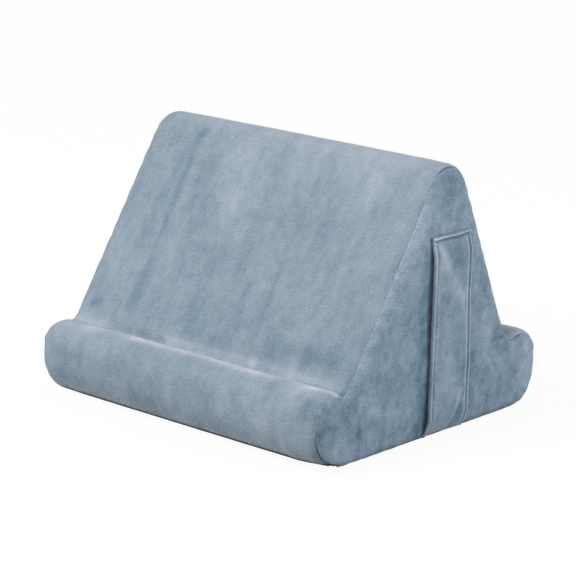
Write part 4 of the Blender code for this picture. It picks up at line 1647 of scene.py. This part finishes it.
class CushionSettings(bpy.types.PropertyGroup):
    """The stand's sizes."""

    width: number(
        "Width", "Length of the stand along its front roll",
        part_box("end_panel_right")[1].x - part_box("end_panel_left")[0].x, 0.2, 0.4,
    )
    ridge_height: number(
        "Ridge height", "Height of the ridge over the floor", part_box("cover_wrap")[1].z, 0.15, 0.3
    )
    cloth_thickness: number("Cloth thickness", "Thickness of the velvet", 0.0012, 0.0005, 0.003)
    seam_stitch_pitch: number("Seam stitch pitch", "Length of one end seam stitch", 0.0042, 0.002, 0.01)
    seam_stitch_depth: number("Seam stitch depth", "How deep those stitches lie", 0.0004, 0.0, 0.003)
    strap_width: number(
        "Strap width", "Width of the carry strap",
        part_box("carry_strap")[1].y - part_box("carry_strap")[0].y - STRAP_LEAN, 0.02, 0.08,
    )
    strap_drop: number(
        "Strap drop", "Distance from the ridge down to the strap's top edge",
        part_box("cover_wrap")[1].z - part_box("carry_strap")[1].z, 0.02, 0.1,
    )
    strap_thickness: number("Strap thickness", "Thickness of the doubled band", 0.0028, 0.001, 0.006)
    strap_bow: number("Strap bow", "How far the strap stands off the end panel", 0.0024, 0.0, 0.01)


class CushionColours(bpy.types.PropertyGroup):
    """The stand's colours."""

    velvet: paint("Velvet", "The velvet where its pile stands up", (0.254, 0.323, 0.392))
    velvet_dark: paint("Brushed dark", "The velvet where its pile is brushed away", (0.170, 0.245, 0.308))
    velvet_light: paint(
        "Brushed light", "The velvet where its pile lies to the light", (0.345, 0.405, 0.480)
    )
    base: paint("Base cloth", "The woven cloth underneath", (0.085, 0.115, 0.145))
    foam: paint("Foam", "The cut foam inside", (0.780, 0.760, 0.680))
    thread: paint("Thread", "The sewing thread", (0.175, 0.240, 0.300))


# Each velvet's tone, its nap's place on the cloth and how strong the nap's parts are. The end
# panels are given as (node, side, creases, marks in the nap with painted highlights and shade,
# seed, tone).
COVER_TONE = (1.025, 1.02, 1.025)
COVER_AMOUNTS = {"Mottle": 0.85, "Streaks": 1.0, "Grain": 1.0, "Crush": 0.15}
PANEL_TURN = 0.12
PANEL_SHIFT = (0.37, 0.61, 0.0)
PANEL_AMOUNTS = {"Mottle": 1.7, "Streaks": 1.1, "Grain": 1.1, "Crush": 0.4}
END_PANELS = (
    ("end_panel_right", 1, PANEL_CREASES, PANEL_NAP_AND_PAINTED_LIGHT, 31, (0.98, 1.05, 1.09)),
    ("end_panel_left", -1, (), (), 47, (1.0, 1.0, 1.0)),
)
STRAP_TONE = (0.98, 1.04, 1.07)
STRAP_NAP_SHIFT = (0.83, 0.29, 0.0)
STRAP_AMOUNTS = {"Mottle": 1.4, "Streaks": 0.8, "Grain": 1.0, "Crush": 0.3}


def shared_outline():
    """The outline at the ridge height that is set."""
    return Outline(bpy.context.scene.cushion_sizes.ridge_height)


class CUSHION_OT_foam_block(bpy.types.Operator):
    """Build the foam that fills the cover"""

    bl_idname = "cushion.foam_block"
    bl_label = "Foam Block"

    def execute(self, context):
        foam = build_foam_block(shared_outline(), context.scene.cushion_sizes)
        finish_piece(foam, foam_material(context.scene.cushion_colours), "foam", "foam_core")
        return {"FINISHED"}


class CUSHION_OT_cover_wrap(bpy.types.Operator):
    """Build the long cover strip over the roll, the slope, the ridge and the ledge"""

    bl_idname = "cushion.cover_wrap"
    bl_label = "Cover Strip"

    def execute(self, context):
        outline = shared_outline()
        cover = build_cover_wrap(outline, context.scene.cushion_sizes)
        colours = context.scene.cushion_colours
        material = velvet_material("velvet_cover", colours, COVER_TONE, **COVER_AMOUNTS)
        finish_piece(cover, material, "velvet", "cover_wrap")
        return {"FINISHED"}


class CUSHION_OT_end_panels(bpy.types.Operator):
    """Build the two end panels with their turned rims"""

    bl_idname = "cushion.end_panels"
    bl_label = "End Panels"

    def execute(self, context):
        outline = shared_outline()
        colours = context.scene.cushion_colours
        sizes = context.scene.cushion_sizes
        for node, side, creases, naps, seed, tone in END_PANELS:
            panel = build_end_panel(node + "_velvet", outline, sizes, side, creases, naps, seed)
            turn = PANEL_TURN * side
            material = velvet_material(
                "velvet_" + node, colours, tone, turn, PANEL_SHIFT, **PANEL_AMOUNTS
            )
            finish_piece(panel, material, "velvet", node)
        return {"FINISHED"}


class CUSHION_OT_base_cloth(bpy.types.Operator):
    """Build the woven base panel"""

    bl_idname = "cushion.base_cloth"
    bl_label = "Base Cloth"

    def execute(self, context):
        base = build_base_cloth(shared_outline(), context.scene.cushion_sizes)
        finish_piece(base, base_cloth_material(context.scene.cushion_colours), "base_cloth", "base_panel")
        return {"FINISHED"}


class CUSHION_OT_carry_strap(bpy.types.Operator):
    """Build the doubled carry strap on the end panel"""

    bl_idname = "cushion.carry_strap"
    bl_label = "Carry Strap"

    def execute(self, context):
        strap = build_carry_strap(shared_outline(), context.scene.cushion_sizes)
        colours = context.scene.cushion_colours
        material = velvet_material(
            "velvet_strap", colours, STRAP_TONE, shift=STRAP_NAP_SHIFT, **STRAP_AMOUNTS
        )
        finish_piece(strap, material, "velvet", "carry_strap")
        return {"FINISHED"}


class CUSHION_OT_stitches(bpy.types.Operator):
    """Build the stitches of the end seams and of the strap"""

    bl_idname = "cushion.stitches"
    bl_label = "Stitches"

    def execute(self, context):
        outline = shared_outline()
        sizes = context.scene.cushion_sizes
        thread = thread_material(context.scene.cushion_colours)
        for made in (seam_stitches(outline, sizes), strap_stitches(outline, sizes)):
            finish_piece(made, thread, "velvet")
        return {"FINISHED"}


class CUSHION_OT_studio(bpy.types.Operator):
    """Set up the camera, the pale floor and the soft lamps"""

    bl_idname = "cushion.studio"
    bl_label = "Studio"

    def execute(self, context):
        context.scene.view_settings.view_transform = "Standard"
        build_camera()
        build_floor()
        build_world()
        for name, place, size, power, colour in LAMPS:
            add_lamp(name, place, LAMP_AIM, size, power, colour)
        return {"FINISHED"}


class CUSHION_PT_pieces(bpy.types.Panel):
    """The stand's sizes, colours and pieces."""

    bl_idname = "CUSHION_PT_pieces"
    bl_label = "Tablet Cushion Stand"
    bl_space_type = "VIEW_3D"
    bl_region_type = "UI"
    bl_category = "Tablet Cushion"

    def draw(self, context):
        for group in (context.scene.cushion_sizes, context.scene.cushion_colours):
            box = self.layout.box()
            for label in group.__annotations__:
                box.prop(group, label)
        for piece in PIECES:
            self.layout.operator(piece.bl_idname)


PIECES = (
    CUSHION_OT_foam_block, CUSHION_OT_cover_wrap, CUSHION_OT_end_panels, CUSHION_OT_base_cloth,
    CUSHION_OT_carry_strap, CUSHION_OT_stitches, CUSHION_OT_studio,
)
CLASSES = (CushionSettings, CushionColours) + PIECES + (CUSHION_PT_pieces,)


def register():
    for made in CLASSES:
        bpy.utils.register_class(made)
    bpy.types.Scene.cushion_sizes = bpy.props.PointerProperty(type=CushionSettings)
    bpy.types.Scene.cushion_colours = bpy.props.PointerProperty(type=CushionColours)


def unregister():
    del bpy.types.Scene.cushion_sizes
    del bpy.types.Scene.cushion_colours
    for made in reversed(CLASSES):
        bpy.utils.unregister_class(made)


def main():
    register()
    velvet_nap_group()
    bpy.ops.cushion.foam_block()
    bpy.ops.cushion.cover_wrap()
    bpy.ops.cushion.end_panels()
    bpy.ops.cushion.base_cloth()
    bpy.ops.cushion.carry_strap()
    bpy.ops.cushion.stitches()
    bpy.ops.cushion.studio()


if __name__ == "__main__":
    main()
